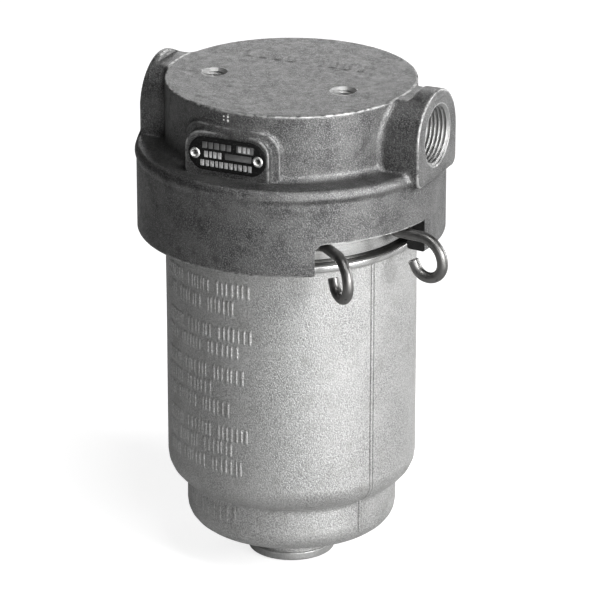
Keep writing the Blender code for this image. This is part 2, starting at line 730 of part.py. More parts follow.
clear_scene()
PARTS = collection("compressed_air_filter")
CUTTERS = collection("cutters")
PAINT = {
    "head": material("cast_head", (0.21, 0.21, 0.21), 0.7, 0.55),
    "bowl": material("cast_bowl", (0.50, 0.50, 0.49), 0.7, 0.50),
    "plate": material("black_plate", (0.02, 0.02, 0.02), 0.4, 0.40),
    "rivet": material("rivet_metal", (0.72, 0.72, 0.70), 1.0, 0.30),
    "wire": material("spring_steel", (0.09, 0.09, 0.09), 0.9, 0.35),
    "rubber": material("seal_rubber", (0.03, 0.03, 0.03), 0.0, 0.60),
    "sheet": material("stainless_sheet", (0.55, 0.55, 0.54), 1.0, 0.30),
    "zinc": material("zinc_plate", (0.50, 0.51, 0.52), 0.9, 0.40),
    "felt": material("filter_felt", (0.62, 0.57, 0.46), 0.0, 0.95),
    "brass": material("turned_brass", (0.62, 0.46, 0.22), 1.0, 0.30),
}
make_head()
make_name_plate()
make_bowl()
make_snap_ring("snap_ring_left", RING_BACK_ANGLE - 360 + RING_BACK_GAP_ANGLE, **RING_LEFT)
make_snap_ring("snap_ring_right", RING_BACK_ANGLE - RING_BACK_GAP_ANGLE, **RING_RIGHT)
make_element()
make_drain_plate()
make_drain_valve()
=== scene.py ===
"""Looks of the compressed air line filter: fine geometry, node materials, light and camera.

The frame is the CAD's: the origin is the centre of the head's top face, +Z up, +X towards the
outlet port. Sizes in this file are in millimetres, and MM turns them into metres.
"""

import math

import bpy
import numpy as np
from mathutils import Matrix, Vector


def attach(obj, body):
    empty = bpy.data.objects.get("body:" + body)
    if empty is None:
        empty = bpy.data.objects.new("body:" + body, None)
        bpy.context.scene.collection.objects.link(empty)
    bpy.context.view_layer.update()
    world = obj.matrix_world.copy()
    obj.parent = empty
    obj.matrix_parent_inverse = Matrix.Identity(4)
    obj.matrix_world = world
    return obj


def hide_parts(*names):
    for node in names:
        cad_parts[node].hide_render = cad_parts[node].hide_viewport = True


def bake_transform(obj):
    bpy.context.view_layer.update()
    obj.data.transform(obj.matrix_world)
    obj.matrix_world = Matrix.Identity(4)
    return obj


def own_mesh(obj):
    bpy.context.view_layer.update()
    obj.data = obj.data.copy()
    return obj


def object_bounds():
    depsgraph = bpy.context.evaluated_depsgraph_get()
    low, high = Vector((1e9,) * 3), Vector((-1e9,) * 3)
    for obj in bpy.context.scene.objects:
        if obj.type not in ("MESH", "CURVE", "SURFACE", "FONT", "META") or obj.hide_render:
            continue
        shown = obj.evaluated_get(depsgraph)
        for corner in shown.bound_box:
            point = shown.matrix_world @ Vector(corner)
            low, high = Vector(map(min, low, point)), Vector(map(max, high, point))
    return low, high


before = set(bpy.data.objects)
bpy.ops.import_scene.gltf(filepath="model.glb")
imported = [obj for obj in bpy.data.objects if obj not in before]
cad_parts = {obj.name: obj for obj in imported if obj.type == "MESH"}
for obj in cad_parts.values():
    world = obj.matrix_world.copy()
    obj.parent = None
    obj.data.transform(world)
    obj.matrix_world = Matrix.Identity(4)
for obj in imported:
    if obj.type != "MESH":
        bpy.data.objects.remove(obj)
CAD_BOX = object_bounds()

MM = 0.001
FINE = 192  # sides of the large round pieces
MEDIUM = 96  # sides of the small ones

# Head
HEAD_RADIUS = 44.7
LEDGE_Z = -24.0
SKIRT_RADIUS = 55.0
RIM_CENTRE = (53.0, -26.8)
RIM_ROUND = 2.56
SKIRT_BOTTOM_Z = -55.6
PORT_Z = -14.0
PORT_THREAD = (11.3, 10.2)  # radii of the mouth and of the crests
PORT_PITCH = 1.5
OUTLET_X = 56.3
OUTLET_DEPTH = 14.0
INLET_X = -51.8
INLET_DEPTH = 12.6
BOSS_RADIUS = 16.8
BOSS_CENTRE_Z = -14.4
BOSS_BOTTOM_Z = -29.5
FACED_RADIUS = 49.5  # the top face is cut this wide, into the crowns of the bosses
PASSAGE_Z = -18.0
MOUNT_HOLES = ((-26.5, -7.5), (23.5, -7.5))
MOUNT_THREAD = (4.7, 3.4)
MOUNT_PITCH = 1.25
WINDOW_ANGLES = (-56.6, -7.3)
WINDOW_TOP_Z = -43.5
PLATE_X = -2.6
PLATE_Z = -15.8
PLATE_HALF = (14.7, 6.0)
PAD_X = -3.2
PAD_Y = -46.0
PAD = (16.0, -8.0, 6.5)  # half width, top and corner rounding
STEP = (19.0, -5.7, 8.2)  # the same for the step round the pad
STEP_RADIUS = 45.8
PLATE_FRONT_Y = -47.1
RIVET_OFFSET = 12.0
DOTS = (-4.1, -2.8)  # four punched dots on the drum, above the plate

# Bowl
SEAM_ANGLES = (-25.7, 154.3)

# Snap ring
WIRE_RADIUS = 1.94
RING_RADIUS = 47.8
RING_Z = -46.4
RING_BACK_ANGLE = 148.0
HOOK_RUNS = (  # length or bending radius, turn in degrees and number of steps
    (10.9, 0, 5), (9.1, 90, 20), (5.6, 154, 26), (2.6, 0, 3),
)

UPRIGHT = ((1, 0, 0), (0, 1, 0), (0, 0, 1))
ALONG_X = ((0, 0, 1), (0, 1, 0), (-1, 0, 0))
ALONG_MINUS_X = ((0, 0, -1), (0, 1, 0), (1, 0, 0))
TO_FRONT = ((1, 0, 0), (0, 0, -1), (0, 1, 0))


# --- shapes ---


def shown(name, data):
    """A new object in the scene."""
    obj = bpy.data.objects.new(name, data)
    bpy.context.scene.collection.objects.link(obj)
    return obj


def solid(name, points, faces):
    """A mesh object from points in millimetres and an array of four-sided faces, in which a
    last corner of -1 marks a triangle. A mesh that comes out inside out is turned round."""
    points = np.asarray(points, float).reshape(-1, 3)
    faces = np.asarray(faces, int).reshape(-1, 4)
    tri = faces[:, 3] < 0
    a, b, c = (points[faces[:, n]] for n in range(3))
    d = points[np.where(tri, faces[:, 2], faces[:, 3])]
    volume = np.einsum("ij,ij->i", a, np.cross(b, c)).sum()
    volume += np.einsum("ij,ij->i", a, np.cross(c, d)).sum()
    if volume < 0:
        quads = faces[~tri][:, ::-1]
        faces = np.vstack([quads, faces[tri][:, [2, 1, 0, 3]]])
        tri = faces[:, 3] < 0
    sizes = np.where(tri, 3, 4)
    corners = faces.ravel()
    corners = corners[corners >= 0]
    mesh = bpy.data.meshes.new(name)
    mesh.vertices.add(len(points))
    mesh.vertices.foreach_set("co", (points * MM).astype(np.float32).ravel())
    mesh.loops.add(len(corners))
    mesh.loops.foreach_set("vertex_index", corners.astype(np.int32))
    mesh.polygons.add(len(faces))
    starts = np.concatenate([[0], np.cumsum(sizes)[:-1]])
    mesh.polygons.foreach_set("loop_start", starts.astype(np.int32))
    mesh.update(calc_edges=True)
    mesh.validate()
    return shown(name, mesh)


def finish(obj, slot, angle, paint=None):
    """Smooth shading with edges sharper than the angle left crisp, the material and the slot."""
    mesh = obj.data
    mesh.polygons.foreach_set("use_smooth", [True] * len(mesh.polygons))
    mesh.set_sharp_from_angle(angle=math.radians(angle))
    mesh.materials.clear()
    mesh.materials.append(PAINT[paint or slot])


def fit(obj, body, node, slot, angle=35):
    """Gives a finished piece its material and slot, its body and the CAD node it stands for."""
    finish(obj, slot, angle)
    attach(obj, body)
    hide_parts(node)


def around(count):
    """This many angles, evenly spaced round a circle."""
    return np.linspace(0, 2 * math.pi, count, endpoint=False)


def spread(values, count):
    """Rows of this many equal columns, one row for each value."""
    return np.repeat(np.asarray(values, float)[:, None], count, axis=1)


def arc(centre, radius, start, end, count):
    angles = np.radians(np.linspace(start, end, count + 1))
    return [(centre[0] + radius * math.cos(a), centre[1] + radius * math.sin(a)) for a in angles]


def rounded(corners, closed=True):
    """A profile whose corners are (radius, z) or (radius, z, rounding)."""
    out = []
    count = len(corners)
    for n, corner in enumerate(corners):
        rounding = corner[2] if len(corner) > 2 else 0
        at = np.array(corner[:2], float)
        if rounding == 0 or (not closed and n in (0, count - 1)):
            out.append(tuple(at))
            continue
        before = np.array(corners[n - 1][:2], float) - at
        after = np.array(corners[(n + 1) % count][:2], float) - at
        before /= np.linalg.norm(before)
        after /= np.linalg.norm(after)
        half = math.acos(float(np.clip(before @ after, -1, 1))) / 2
        run = rounding / math.tan(half)
        centre = at + (before + after) / np.linalg.norm(before + after) * rounding / math.sin(half)
        first = at + before * run - centre
        last = at + after * run - centre
        start = math.atan2(first[1], first[0])
        turn = (math.atan2(last[1], last[0]) - start + math.pi) % (2 * math.pi) - math.pi
        steps = max(2, int(abs(turn) / math.radians(14)))
        for k in range(steps + 1):
            angle = start + turn * k / steps
            out.append((centre[0] + rounding * math.cos(angle), centre[1] + rounding * math.sin(angle)))
    return out


def dense(profile, longest):
    """The profile with points put in so that no side is longer than longest(z)."""
    out = []
    for (r0, z0), (r1, z1) in zip(profile, profile[1:] + profile[:1]):
        length = math.hypot(r1 - r0, z1 - z0)
        steps = max(1, math.ceil(length / longest((z0 + z1) / 2)))
        for k in range(steps):
            out.append((r0 + (r1 - r0) * k / steps, z0 + (z1 - z0) * k / steps))
    return out


def skin(name, points, columns, poles=None):
    """A surface over rings of points. Its first and last rings are joined to each other, or each
    closed to its own pole."""
    rows = len(points) // columns
    i = np.arange(rows if poles is None else rows - 1)[:, None]
    j = np.arange(columns)[None, :]
    below, beside = (i + 1) % rows, (j + 1) % columns
    quads = np.stack(np.broadcast_arrays(
        i * columns + j, i * columns + beside, below * columns + beside, below * columns + j
    ), axis=-1).reshape(-1, 4)
    if poles is None:
        return solid(name, points, quads)
    top, last = len(points), (rows - 1) * columns
    j, beside = j[0], beside[0]
    none = np.full(columns, -1)
    first_fan = np.stack([np.full(columns, top), beside, j, none], axis=-1)
    last_fan = np.stack([np.full(columns, top + 1), last + j, last + beside, none], axis=-1)
    return solid(name, np.vstack([points, poles]), np.vstack([quads, first_fan, last_fan]))


def polar(name, radii, heights, angles, poles=None):
    """A surface of rows round the Z axis: radii and heights are rows by columns. Its ends are
    joined, or each closed to a pole at one of these two heights."""
    points = np.stack([radii * np.cos(angles), radii * np.sin(angles), heights], axis=-1).reshape(-1, 3)
    if poles is not None:
        poles = [(0, 0, z) for z in poles]
    return skin(name, points, radii.shape[1], poles)


def lathe(name, profile, count=MEDIUM, relief=None, angles=None):
    """A solid of revolution. relief(angle, radius, z) is added to the radius."""
    if angles is None:
        angles = around(count)
    poles = None
    if profile[0][0] == 0:
        poles = (profile[0][1], profile[-1][1])
        profile = profile[1:-1]
    radii, heights = (spread(values, len(angles)) for values in zip(*profile))
    if relief:
        radii = radii + relief(angles[None, :], radii, heights)
    return polar(name, radii, heights, angles, poles)


def ring(name, radii, heights, rounding=0.15, count=MEDIUM, relief=None):
    """A washer or tube with rounded edges, from inner and outer radius and top and bottom."""
    inner, outer = radii
    top, bottom = heights
    corners = [(outer, top), (outer, bottom), (inner, bottom), (inner, top)]
    return lathe(name, rounded([(*c, rounding) for c in corners]), count, relief)


def turned(node, body, slot, corners, count=MEDIUM, closed=True, angle=35):
    """A finished turned piece from the corners of its profile."""
    fit(lathe(f"{node}_visual", rounded(corners, closed), count), body, node, slot, angle)


def loft(name, stacks):
    """Solids with flat ends, each through a stack of equally long loops of points."""
    points = []
    faces = []
    for loops in stacks:
        count = len(loops[0])
        start = len(points)
        last = start + (len(loops) - 1) * count
        for loop in loops:
            points += [[c * MM for c in point] for point in loop]
        for row in range(start, last, count):
            for k in range(count):
                beside = (k + 1) % count
                faces.append((row + k, row + beside, row + count + beside, row + count + k))
        faces += [tuple(range(start, start + count))[::-1], tuple(range(last, last + count))]
    mesh = bpy.data.meshes.new(name)
    mesh.from_pydata(points, [], faces)
    return shown(name, mesh)


def layered(name, outlines, levels):
    """Plates from outlines, each drawn in or out by every level's (z, inset) in turn."""
    stacks = []
    for outline in outlines:
        outline = np.array(outline, float)
        ahead = np.roll(outline, -1, axis=0) - np.roll(outline, 1, axis=0)
        normal = np.stack([ahead[:, 1], -ahead[:, 0]], axis=-1)
        normal /= np.linalg.norm(normal, axis=1)[:, None]
        stacks.append([[(x, y, z) for x, y in outline - normal * inset] for z, inset in levels])
    return loft(name, stacks)


def put(obj, turn, at=(0, 0, 0)):
    """Turns a piece made about Z by the rows of turn, and moves it, in millimetres."""
    matrix = np.array([[*row, shift] for row, shift in zip(turn, at)], float)
    count = len(obj.data.vertices)
    co = np.empty(count * 3, np.float32)
    obj.data.vertices.foreach_get("co", co)
    co = np.hstack([co.reshape(-1, 3), np.full((count, 1), MM)]) @ matrix.T
    obj.data.vertices.foreach_set("co", co.astype(np.float32).ravel())
    obj.data.update()
    return obj


def carve(obj, tools, operation="DIFFERENCE"):
    """Cuts the tools out of obj, or joins them to it, and removes them."""
    for tool in tools:
        step = obj.modifiers.new(tool.name, "BOOLEAN")
        step.operation = operation
        step.solver = "MANIFOLD"
        step.object = tool
    graph = bpy.context.evaluated_depsgraph_get()
    mesh = bpy.data.meshes.new_from_object(obj.evaluated_get(graph))
    obj.modifiers.clear()
    obj.data = mesh
    for tool in tools:
        bpy.data.objects.remove(tool, do_unlink=True)
    return obj


def thread(angle, z, pitch, depth):
    """How far a thread's crest stands in from its root, from 0 to depth."""
    phase = (z / pitch - angle / (2 * math.pi)) % 1
    return depth * np.clip(2.4 * np.abs(phase - 0.5) - 0.1, 0, 1)


def tube(name, path, radius, sides, chamfer):
    """A round wire along the path, with flat ends whose edges are eased."""
    path = np.array(path, float)
    along = np.gradient(path, axis=0)
    along /= np.linalg.norm(along, axis=1)[:, None]
    side = np.cross(along[0], [0, 0, 1.0])
    if np.linalg.norm(side) < 0.1:
        side = np.cross(along[0], [0, 1.0, 0])
    angles = around(sides)
    rings = []
    for at, heading in zip(path, along):
        side = side - heading * (side @ heading)
        side /= np.linalg.norm(side)
        other = np.cross(heading, side)
        rings.append((at, side, other))

    def circle(n, size, shift=0.0):
        at, u, v = rings[n]
        return at + along[n] * shift + size * (np.outer(np.cos(angles), u) + np.outer(np.sin(angles), v))

    loops = [circle(0, radius - chamfer), circle(0, radius, chamfer)]
    loops += [circle(n, radius) for n in range(1, len(path) - 1)]
    loops += [circle(-1, radius, -chamfer), circle(-1, radius - chamfer)]
    return skin(name, np.vstack(loops), sides, (path[0], path[-1]))


# --- signed-distance modelling of the cast head ---


def join(a, b, radius):
    """The union of two distance fields, with a hollow fillet."""
    inner = np.hypot(np.maximum(radius - a, 0), np.maximum(radius - b, 0))
    return np.maximum(radius, np.minimum(a, b)) - inner


def meet(a, b, radius):
    """The intersection of two distance fields, with a rounded edge."""
    outer = np.hypot(np.maximum(radius + a, 0), np.maximum(radius + b, 0))
    return np.minimum(-radius, np.maximum(a, b)) + outer


def top_marks(x, y):
    """How high the worn bars on the top face stand, in place of its cast wording."""
    along = x + 0.25 * (y - 17.6) + 2.5
    across = y - 17.6
    bar = np.abs((along + 24.3) % 5.4 - 2.7) - 1.3
    row = np.maximum(np.abs(along) - 24.3, np.abs(across) - 3.6)
    gap = 3.2 - np.abs(along - 2.7)
    return 0.27 * np.clip(0.5 - np.maximum(np.maximum(bar, row), gap) / 0.9, 0, 1)


def head_distance(x, y, z):
    """How far a point is outside the head as cast, before any machining."""
    r = np.hypot(x, y)
    top = z - top_marks(x, y)
    drum = meet(r - HEAD_RADIUS, top, 0.9)
    skirt = meet(meet(r - SKIRT_RADIUS, z - LEDGE_Z, 1.6), SKIRT_BOTTOM_Z - z, 0.7)
    rim = np.hypot(r - RIM_CENTRE[0], z - RIM_CENTRE[1]) - RIM_ROUND
    body = join(drum, join(skirt, rim, 0.35), 2.8)
    flank = meet(np.abs(y) - BOSS_RADIUS, BOSS_BOTTOM_Z - z, 3.5)
    crown = np.hypot(y, z - BOSS_CENTRE_Z) - BOSS_RADIUS
    section = np.where(z > BOSS_CENTRE_Z, crown, flank)
    for side, face in ((1, OUTLET_X), (-1, -INLET_X)):
        along = side * x
        boss = np.maximum(meet(section, along - face, 0.7), 20 - along)
        body = join(body, boss, 1.7)
    across = np.abs(x - PAD_X)
    behind = y + 32
    step = meet(meet(across - STEP[0], z - STEP[1], STEP[2]), r - STEP_RADIUS, 0.4)
    pad = meet(meet(across - PAD[0], z - PAD[1], PAD[2]), PAD_Y - y, 0.4)
    body = join(body, np.maximum(step, behind), 0.8)
    body = join(body, np.maximum(pad, behind), 0.35)
    body = meet(body, join(top, FACED_RADIUS - r, 0.8), 0.6)
    body = meet(body, x - OUTLET_X, 0.5)
    return meet(body, SKIRT_BOTTOM_Z - z, 0.7)


def along_axis(axis, part, rest=slice(None)):
    """An index that takes this part of one axis and the rest of the other two."""
    pick = [rest] * 3
    pick[axis] = part
    return tuple(pick)


def surface(name, distance, low, high, cell):
    """The zero surface of a distance field, as one closed mesh of even four-sided faces."""
    axes = [np.arange(a, b + cell, cell) for a, b in zip(low, high)]
    grid = np.meshgrid(*axes, indexing="ij", sparse=True)
    field = np.ascontiguousarray(distance(*(g.astype(np.float32) for g in grid)))
    inside = field < 0
    cells = tuple(np.array(field.shape) - 1)
    total = np.zeros((*cells, 3), np.float32)
    hits = np.zeros(cells, np.float32)
    corner_sets = [(0, 1, 2), (1, 0, 2), (2, 0, 1)]
    before, after, middle = slice(0, -1), slice(1, None), slice(1, -1)
    for axis, *others in corner_sets:
        a, b = field[along_axis(axis, before)], field[along_axis(axis, after)]
        cross = (a < 0) != (b < 0)
        share = np.where(cross, a / np.where(cross, a - b, 1), 0)
        for shifts in ((0, 0), (0, 1), (1, 0), (1, 1)):
            pick = [slice(None)] * 3
            for other, shift in zip(others, shifts):
                pick[other] = slice(shift, shift + cells[other])
            here = cross[tuple(pick)]
            hits += here
            total[..., axis] += share[tuple(pick)]
            for other, shift in zip(others, shifts):
                total[..., other] += here * shift
    used = np.argwhere(hits > 0)
    number = np.full(cells, -1)
    picked = tuple(used.T)
    number[picked] = np.arange(len(used))
    points = np.array(low) + (used + total[picked] / hits[picked][:, None]) * cell
    faces = []
    for axis, *others in corner_sets:
        change = inside[along_axis(axis, before, middle)] != inside[along_axis(axis, after, middle)]
        found = np.argwhere(change)
        found[:, others] += 1
        corners = []
        for shifts in ((1, 1), (0, 1), (0, 0), (1, 0)):
            at = found.copy()
            at[:, others] -= shifts
            corners.append(number[tuple(at.T)])
        quad = np.stack(corners, axis=-1)
        flip = inside[tuple(found.T)] ^ (axis == 1)
        quad[flip] = quad[flip][:, ::-1]
        faces.append(quad)
    return solid(name, settle(points, distance, cell), np.vstack(faces))


def settle(points, distance, cell):
    """Moves the points on to the zero surface along its slope."""
    reach = 0.04
    for _ in range(3):
        x, y, z = points.T
        here = distance(x, y, z)
        slope = np.stack([
            distance(x + reach, y, z) - distance(x - reach, y, z),
            distance(x, y + reach, z) - distance(x, y - reach, z),
            distance(x, y, z + reach) - distance(x, y, z - reach),
        ], axis=-1) / (2 * reach)
        size = np.maximum((slope ** 2).sum(axis=1), 0.2)
        step = np.clip(here / size, -0.3 * cell, 0.3 * cell)
        points = points - slope * step[:, None]
    return points


# --- head ---


def inside_cutter():
    """The skirt's bore, the ring's groove, the spigot's bore and the channel round the hub."""
    below = SKIRT_BOTTOM_Z - 5
    corners = [
        (0, -32.0), (17.0, -32.0, 0.8), (17.0, -6.5, 2.0), (37.0, -6.5, 2.0), (37.0, -27.5, 0.4),
        (43.2, -27.5, 0.2), (43.2, -33.4), (43.8, -34.0), (48.0, -34.0, 0.3), (48.0, -44.2),
        (50.1, -44.2, 0.3), (50.1, -48.8, 0.3), (48.0, -48.8), (48.0, -54.8), (48.8, -55.6),
        (48.8, below), (0, below),
    ]
    return lathe("inside", rounded(corners, closed=False), FINE)


def hub_cutter():
    corners = [
        (0, -14.0), (6.5, -14.0, 0.8), (6.5, -6.5, 1.2), (13.5, -6.5, 1.2), (13.5, -31.6),
        (13.9, -32.0), (13.9, -33.0), (0, -33.0),
    ]
    return lathe("hub", rounded(corners, closed=False), MEDIUM)


def tapped_hole(name, mouth, minor, depth, pitch, count=MEDIUM):
    """A threaded hole as a cutter: its mouth is at z = 0 and it runs down."""
    angles = around(count)
    tall = 0.55 * pitch
    heights = np.concatenate([[1.5, 0.0], np.arange(-0.1, -depth, -pitch / 14), [-depth]])
    z = spread(heights, count)
    root = minor + tall - thread(angles[None, :], z, pitch, tall)
    cone = mouth + z
    radii = np.where(z > -0.05, mouth, np.maximum(np.maximum(root, minor), cone))
    run_out = np.clip((z + depth) / (1.5 * pitch), 0, 1)
    radii = minor + (radii - minor) * np.where(z < -depth / 2, run_out, 1)
    return polar(name, radii, z, angles, (1.5, -depth - 0.25 * minor))


def window_cutter():
    """The gap in the skirt, with rounded upper corners."""
    low, high = (math.radians(a) for a in WINDOW_ANGLES)
    middle, below = 51.5, -70.0
    path = [(low * middle, below), (high * middle, below), (high * middle, WINDOW_TOP_Z, 0.8),
            (low * middle, WINDOW_TOP_Z, 3.4)]
    outline = np.array(dense(rounded(path), lambda z: 1.5))
    angle = outline[:, 0] / middle
    rows = [np.stack([radius * np.cos(angle), radius * np.sin(angle), outline[:, 1]], axis=-1).tolist()
            for radius in (45.0, 60.0)]
    return loft("window", [rows])


def plain_hole(name, radius, top, bottom, count=48):
    return lathe(name, [(0, top), (radius, top), (radius, bottom), (0, bottom)], count)


def ported(name, depth, turn, face_x):
    """The threaded socket of one port, as a cutter."""
    return put(tapped_hole(name, *PORT_THREAD, depth, PORT_PITCH, 128), turn, (face_x, 0, PORT_Z))


def passage(name, radius, outer, inner, turn, count=48):
    return put(plain_hole(name, radius, outer, inner, count), turn, (0, 0, PASSAGE_Z))


def rivet_holes():
    return [put(plain_hole("hole", 1.6, 50, 40), TO_FRONT, (PLATE_X + dx, 0, PLATE_Z))
            for dx in (-RIVET_OFFSET, RIVET_OFFSET)]


def make_head():
    head = surface("head_visual", head_distance, (-57.5, -58, -57), (58, 58, 3.6), 0.62)
    carve(head, [inside_cutter(), hub_cutter()])
    bosses = [put(plain_hole("boss", 7.5, -4.5, -13.0), UPRIGHT, (x, y, 0)) for x, y in MOUNT_HOLES]
    carve(head, [passage("bridge", 9.5, 39.0, 14.5, ALONG_X, MEDIUM)] + bosses, "UNION")
    dot = [(0, 46), (0.45, 46), (0.45, 44.6), (0.15, 44.1), (0, 44.1)]
    cutters = [
        put(plain_hole("spot", 17.3, -INLET_X + 8, -INLET_X, FINE), ALONG_MINUS_X, (0, 0, PORT_Z)),
        ported("outlet", OUTLET_DEPTH, ALONG_X, OUTLET_X),
        ported("inlet", INLET_DEPTH, ALONG_MINUS_X, INLET_X),
        passage("outlet_way", 6.8, 45.0, 11.5, ALONG_X),
        passage("inlet_way", 6.8, 42.0, 33.0, ALONG_MINUS_X),
        window_cutter(),
        plain_hole("rod_hole", 3.3, -7.7, -16.0),
    ]
    cutters += [put(tapped_hole("mount", *MOUNT_THREAD, 10.0, MOUNT_PITCH, 64), UPRIGHT, (x, y, 0))
                for x, y in MOUNT_HOLES]
    cutters += rivet_holes()
    cutters += [put(lathe("dot", dot, 16), TO_FRONT, (DOTS[0] + dx, 0, DOTS[1] + dz))
                for dx in (-0.85, 0.85) for dz in (-0.65, 0.65)]
    carve(head, cutters)
    fit(head, "head", "head_casting", "cast_head")


# --- name plate ---


def pill(half_length, half_height, count=24):
    """An obround outline about the origin, anticlockwise."""
    run = half_length - half_height
    right = arc((run, 0), half_height, -90, 90, count)
    return right + arc((-run, 0), half_height, 90, 270, count)


def box_outline(left, right, low, high, radius=0.35):
    """A box with rounded corners, anticlockwise."""
    outline = []
    for start, x, y in ((-90, right - radius, low + radius), (0, right - radius, high - radius),
                        (90, left + radius, high - radius), (180, left + radius, low + radius)):
        outline += arc((x, y), radius, start, start + 90, 3)
    return outline


def bars(left, right, low, high, widths, gap):
    """A row of small upright blocks between left and right, of these widths in turn."""
    outlines = []
    at, n = left, 0
    while at + widths[n % len(widths)] <= right + 0.01:
        width = widths[n % len(widths)]
        outlines.append(box_outline(at, at + width, low, high, 0.16))
        at += width + gap
        n += 1
    return outlines


def make_name_plate():
    """A black plate with bare raised bars and fields, and nothing written on it."""
    at = (PLATE_X, 0, PLATE_Z)
    back, front = -PAD_Y + 0.3, -PLATE_FRONT_Y
    levels = [(back, 0.12), (back + 0.12, 0), (front - 0.22, 0), (front - 0.1, 0.05), (front - 0.05, 0.2)]
    plate = layered("name_plate_visual", [pill(*PLATE_HALF)], levels)
    put(plate, TO_FRONT, at)
    carve(plate, rivet_holes())
    fit(plate, "head", "name_plate", "black_plate", 32)
    raised = {
        "top_row": (bars(-9.4, 2.6, 2.0, 4.4, (1.9, 1.7, 2.0), 0.45), 0.02),
        "top_field": ([box_outline(3.6, 10.2, 1.9, 4.7)], 0.06),
        "top_marks": (bars(4.3, 9.7, 2.2, 4.4, (1.2, 1.1, 0.9), 0.6), 0.0),
        "middle_row": (bars(-8.7, -1.5, -1.3, 1.1, (1.4, 1.0, 1.3), 0.5), 0.0),
        "middle_field": ([box_outline(-0.8, 9.4, -1.2, 1.2)], 0.06),
        "foot_row": (bars(-10.2, 10.2, -4.5, -2.2, (1.5, 1.3, 1.4, 1.0), 0.5), 0.0),
    }
    for part, (outlines, sunk) in raised.items():
        top = front - sunk / 2
        levels = [(front - 0.14, 0), (top - 0.03, 0.02), (top, 0.07)]
        field = layered(f"name_plate_{part}", outlines, levels)
        put(field, TO_FRONT, at)
        finish(field, "rivet_metal", 32, "dull_field" if sunk else "bare_field")
        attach(field, "head")


def make_rivets():
    face = -PLATE_FRONT_Y + 0.3
    corners = [
        (0.8, face - 0.5, 0.2), (1.25, face + 0.42, 0.1), (1.55, face + 0.5, 0.12),
        (1.95, face + 0.2, 0.2), (1.95, face, 0.05), (1.25, face), (1.25, face - 5.2), (0.8, face - 5.2),
    ]
    for side, shift in (("left", -RIVET_OFFSET), ("right", RIVET_OFFSET)):
        rivet = lathe(f"plate_rivet_{side}_visual", rounded(corners), 48)
        put(rivet, TO_FRONT, (PLATE_X + shift, 0, PLATE_Z))
        fit(rivet, "head", f"plate_rivet_{side}", "rivet_metal", 50)


# --- bowl ---

RIB_ROWS = (  # top and bottom of each row of plain cast ribs
    (-63.5, -68.7), (-70.2, -75.5), (-80.4, -85.7), (-86.8, -91.6), (-96.0, -101.3),
    (-102.4, -107.4), (-108.9, -114.3), (-118.1, -123.5), (-124.3, -129.3), (-130.9, -136.3),
)
RIB_ROW_ENDS = (19.9, 27.8, 19.0, 25.3, 22.8, 40.0, 30.0, 20.9, 28.8, 24.0)
FACING = 65.0  # angle from the middle of the front, rightwards, to the angle from +X


def bowl_profile():
    outer = [
        (42.9, -27.8, 0.6), (42.9, -29.4, 0.1), (40.3, -29.4, 0.2), (40.3, -32.4, 0.2),
        (42.9, -32.4, 0.1), (42.9, -34.3, 0.2), (47.7, -34.3, 0.4), (47.7, -44.2, 0.5),
        (43.3, -44.2, 0.5), (43.3, -53.4, 0.15), (42.5, -53.8, 0.15), (42.5, -54.9, 0.3),
        (45.9, -54.9, 0.9), (45.9, -57.1, 0.9), (45.0, -57.6, 0.5), (45.0, -147.28, 9.0),
        (38.0, -150.48, 3.0), (38.0, -168.5, 7.7), (15.5, -168.5, 1.4), (15.5, -177.0, 0.1),
        (14.9, -177.4, 0.1), (15.8, -177.8, 0.2), (15.8, -180.8, 0.9),
    ]
    inner = [
        (8.3, -180.8, 0.4), (8.3, -164.0, 0.3), (30.0, -164.0, 3.0), (30.0, -153.3, 0.2),
        (33.0, -153.3), (33.0, -149.7), (34.2, -149.7), (34.2, -147.7), (33.0, -147.7),
        (33.0, -146.5, 0.4), (40.3, -146.5, 4.0), (40.3, -46.5, 0.8), (38.0, -44.0, 0.8),
        (38.0, -27.8, 0.5),
    ]
    return rounded(outer + inner)


def ridge(distance, width, height):
    return height * np.clip(1.35 - 1.35 * np.abs(distance) / width, 0, 1)


def rib_relief(front_angle, z):
    """Rows of plain upright ribs where the casting carries raised marks."""
    relief = np.zeros(np.broadcast(front_angle, z).shape)
    rng = np.random.default_rng(7)
    for (top, bottom), end in zip(RIB_ROWS, RIB_ROW_ENDS):
        inside = np.clip((top - z) / 0.25, 0, 1) * np.clip((z - bottom) / 0.25, 0, 1)
        at = -end
        run = 0
        while at > -74:
            half = 0.42 if run % 3 else 0.62
            span = np.clip((math.degrees(half / 45) - np.abs(front_angle - at)) / 0.35, 0, 1)
            relief = np.maximum(relief, span * inside)
            run += 1
            at -= rng.choice([1.9, 2.3, 2.8]) if run % 7 else 5.0
    return relief


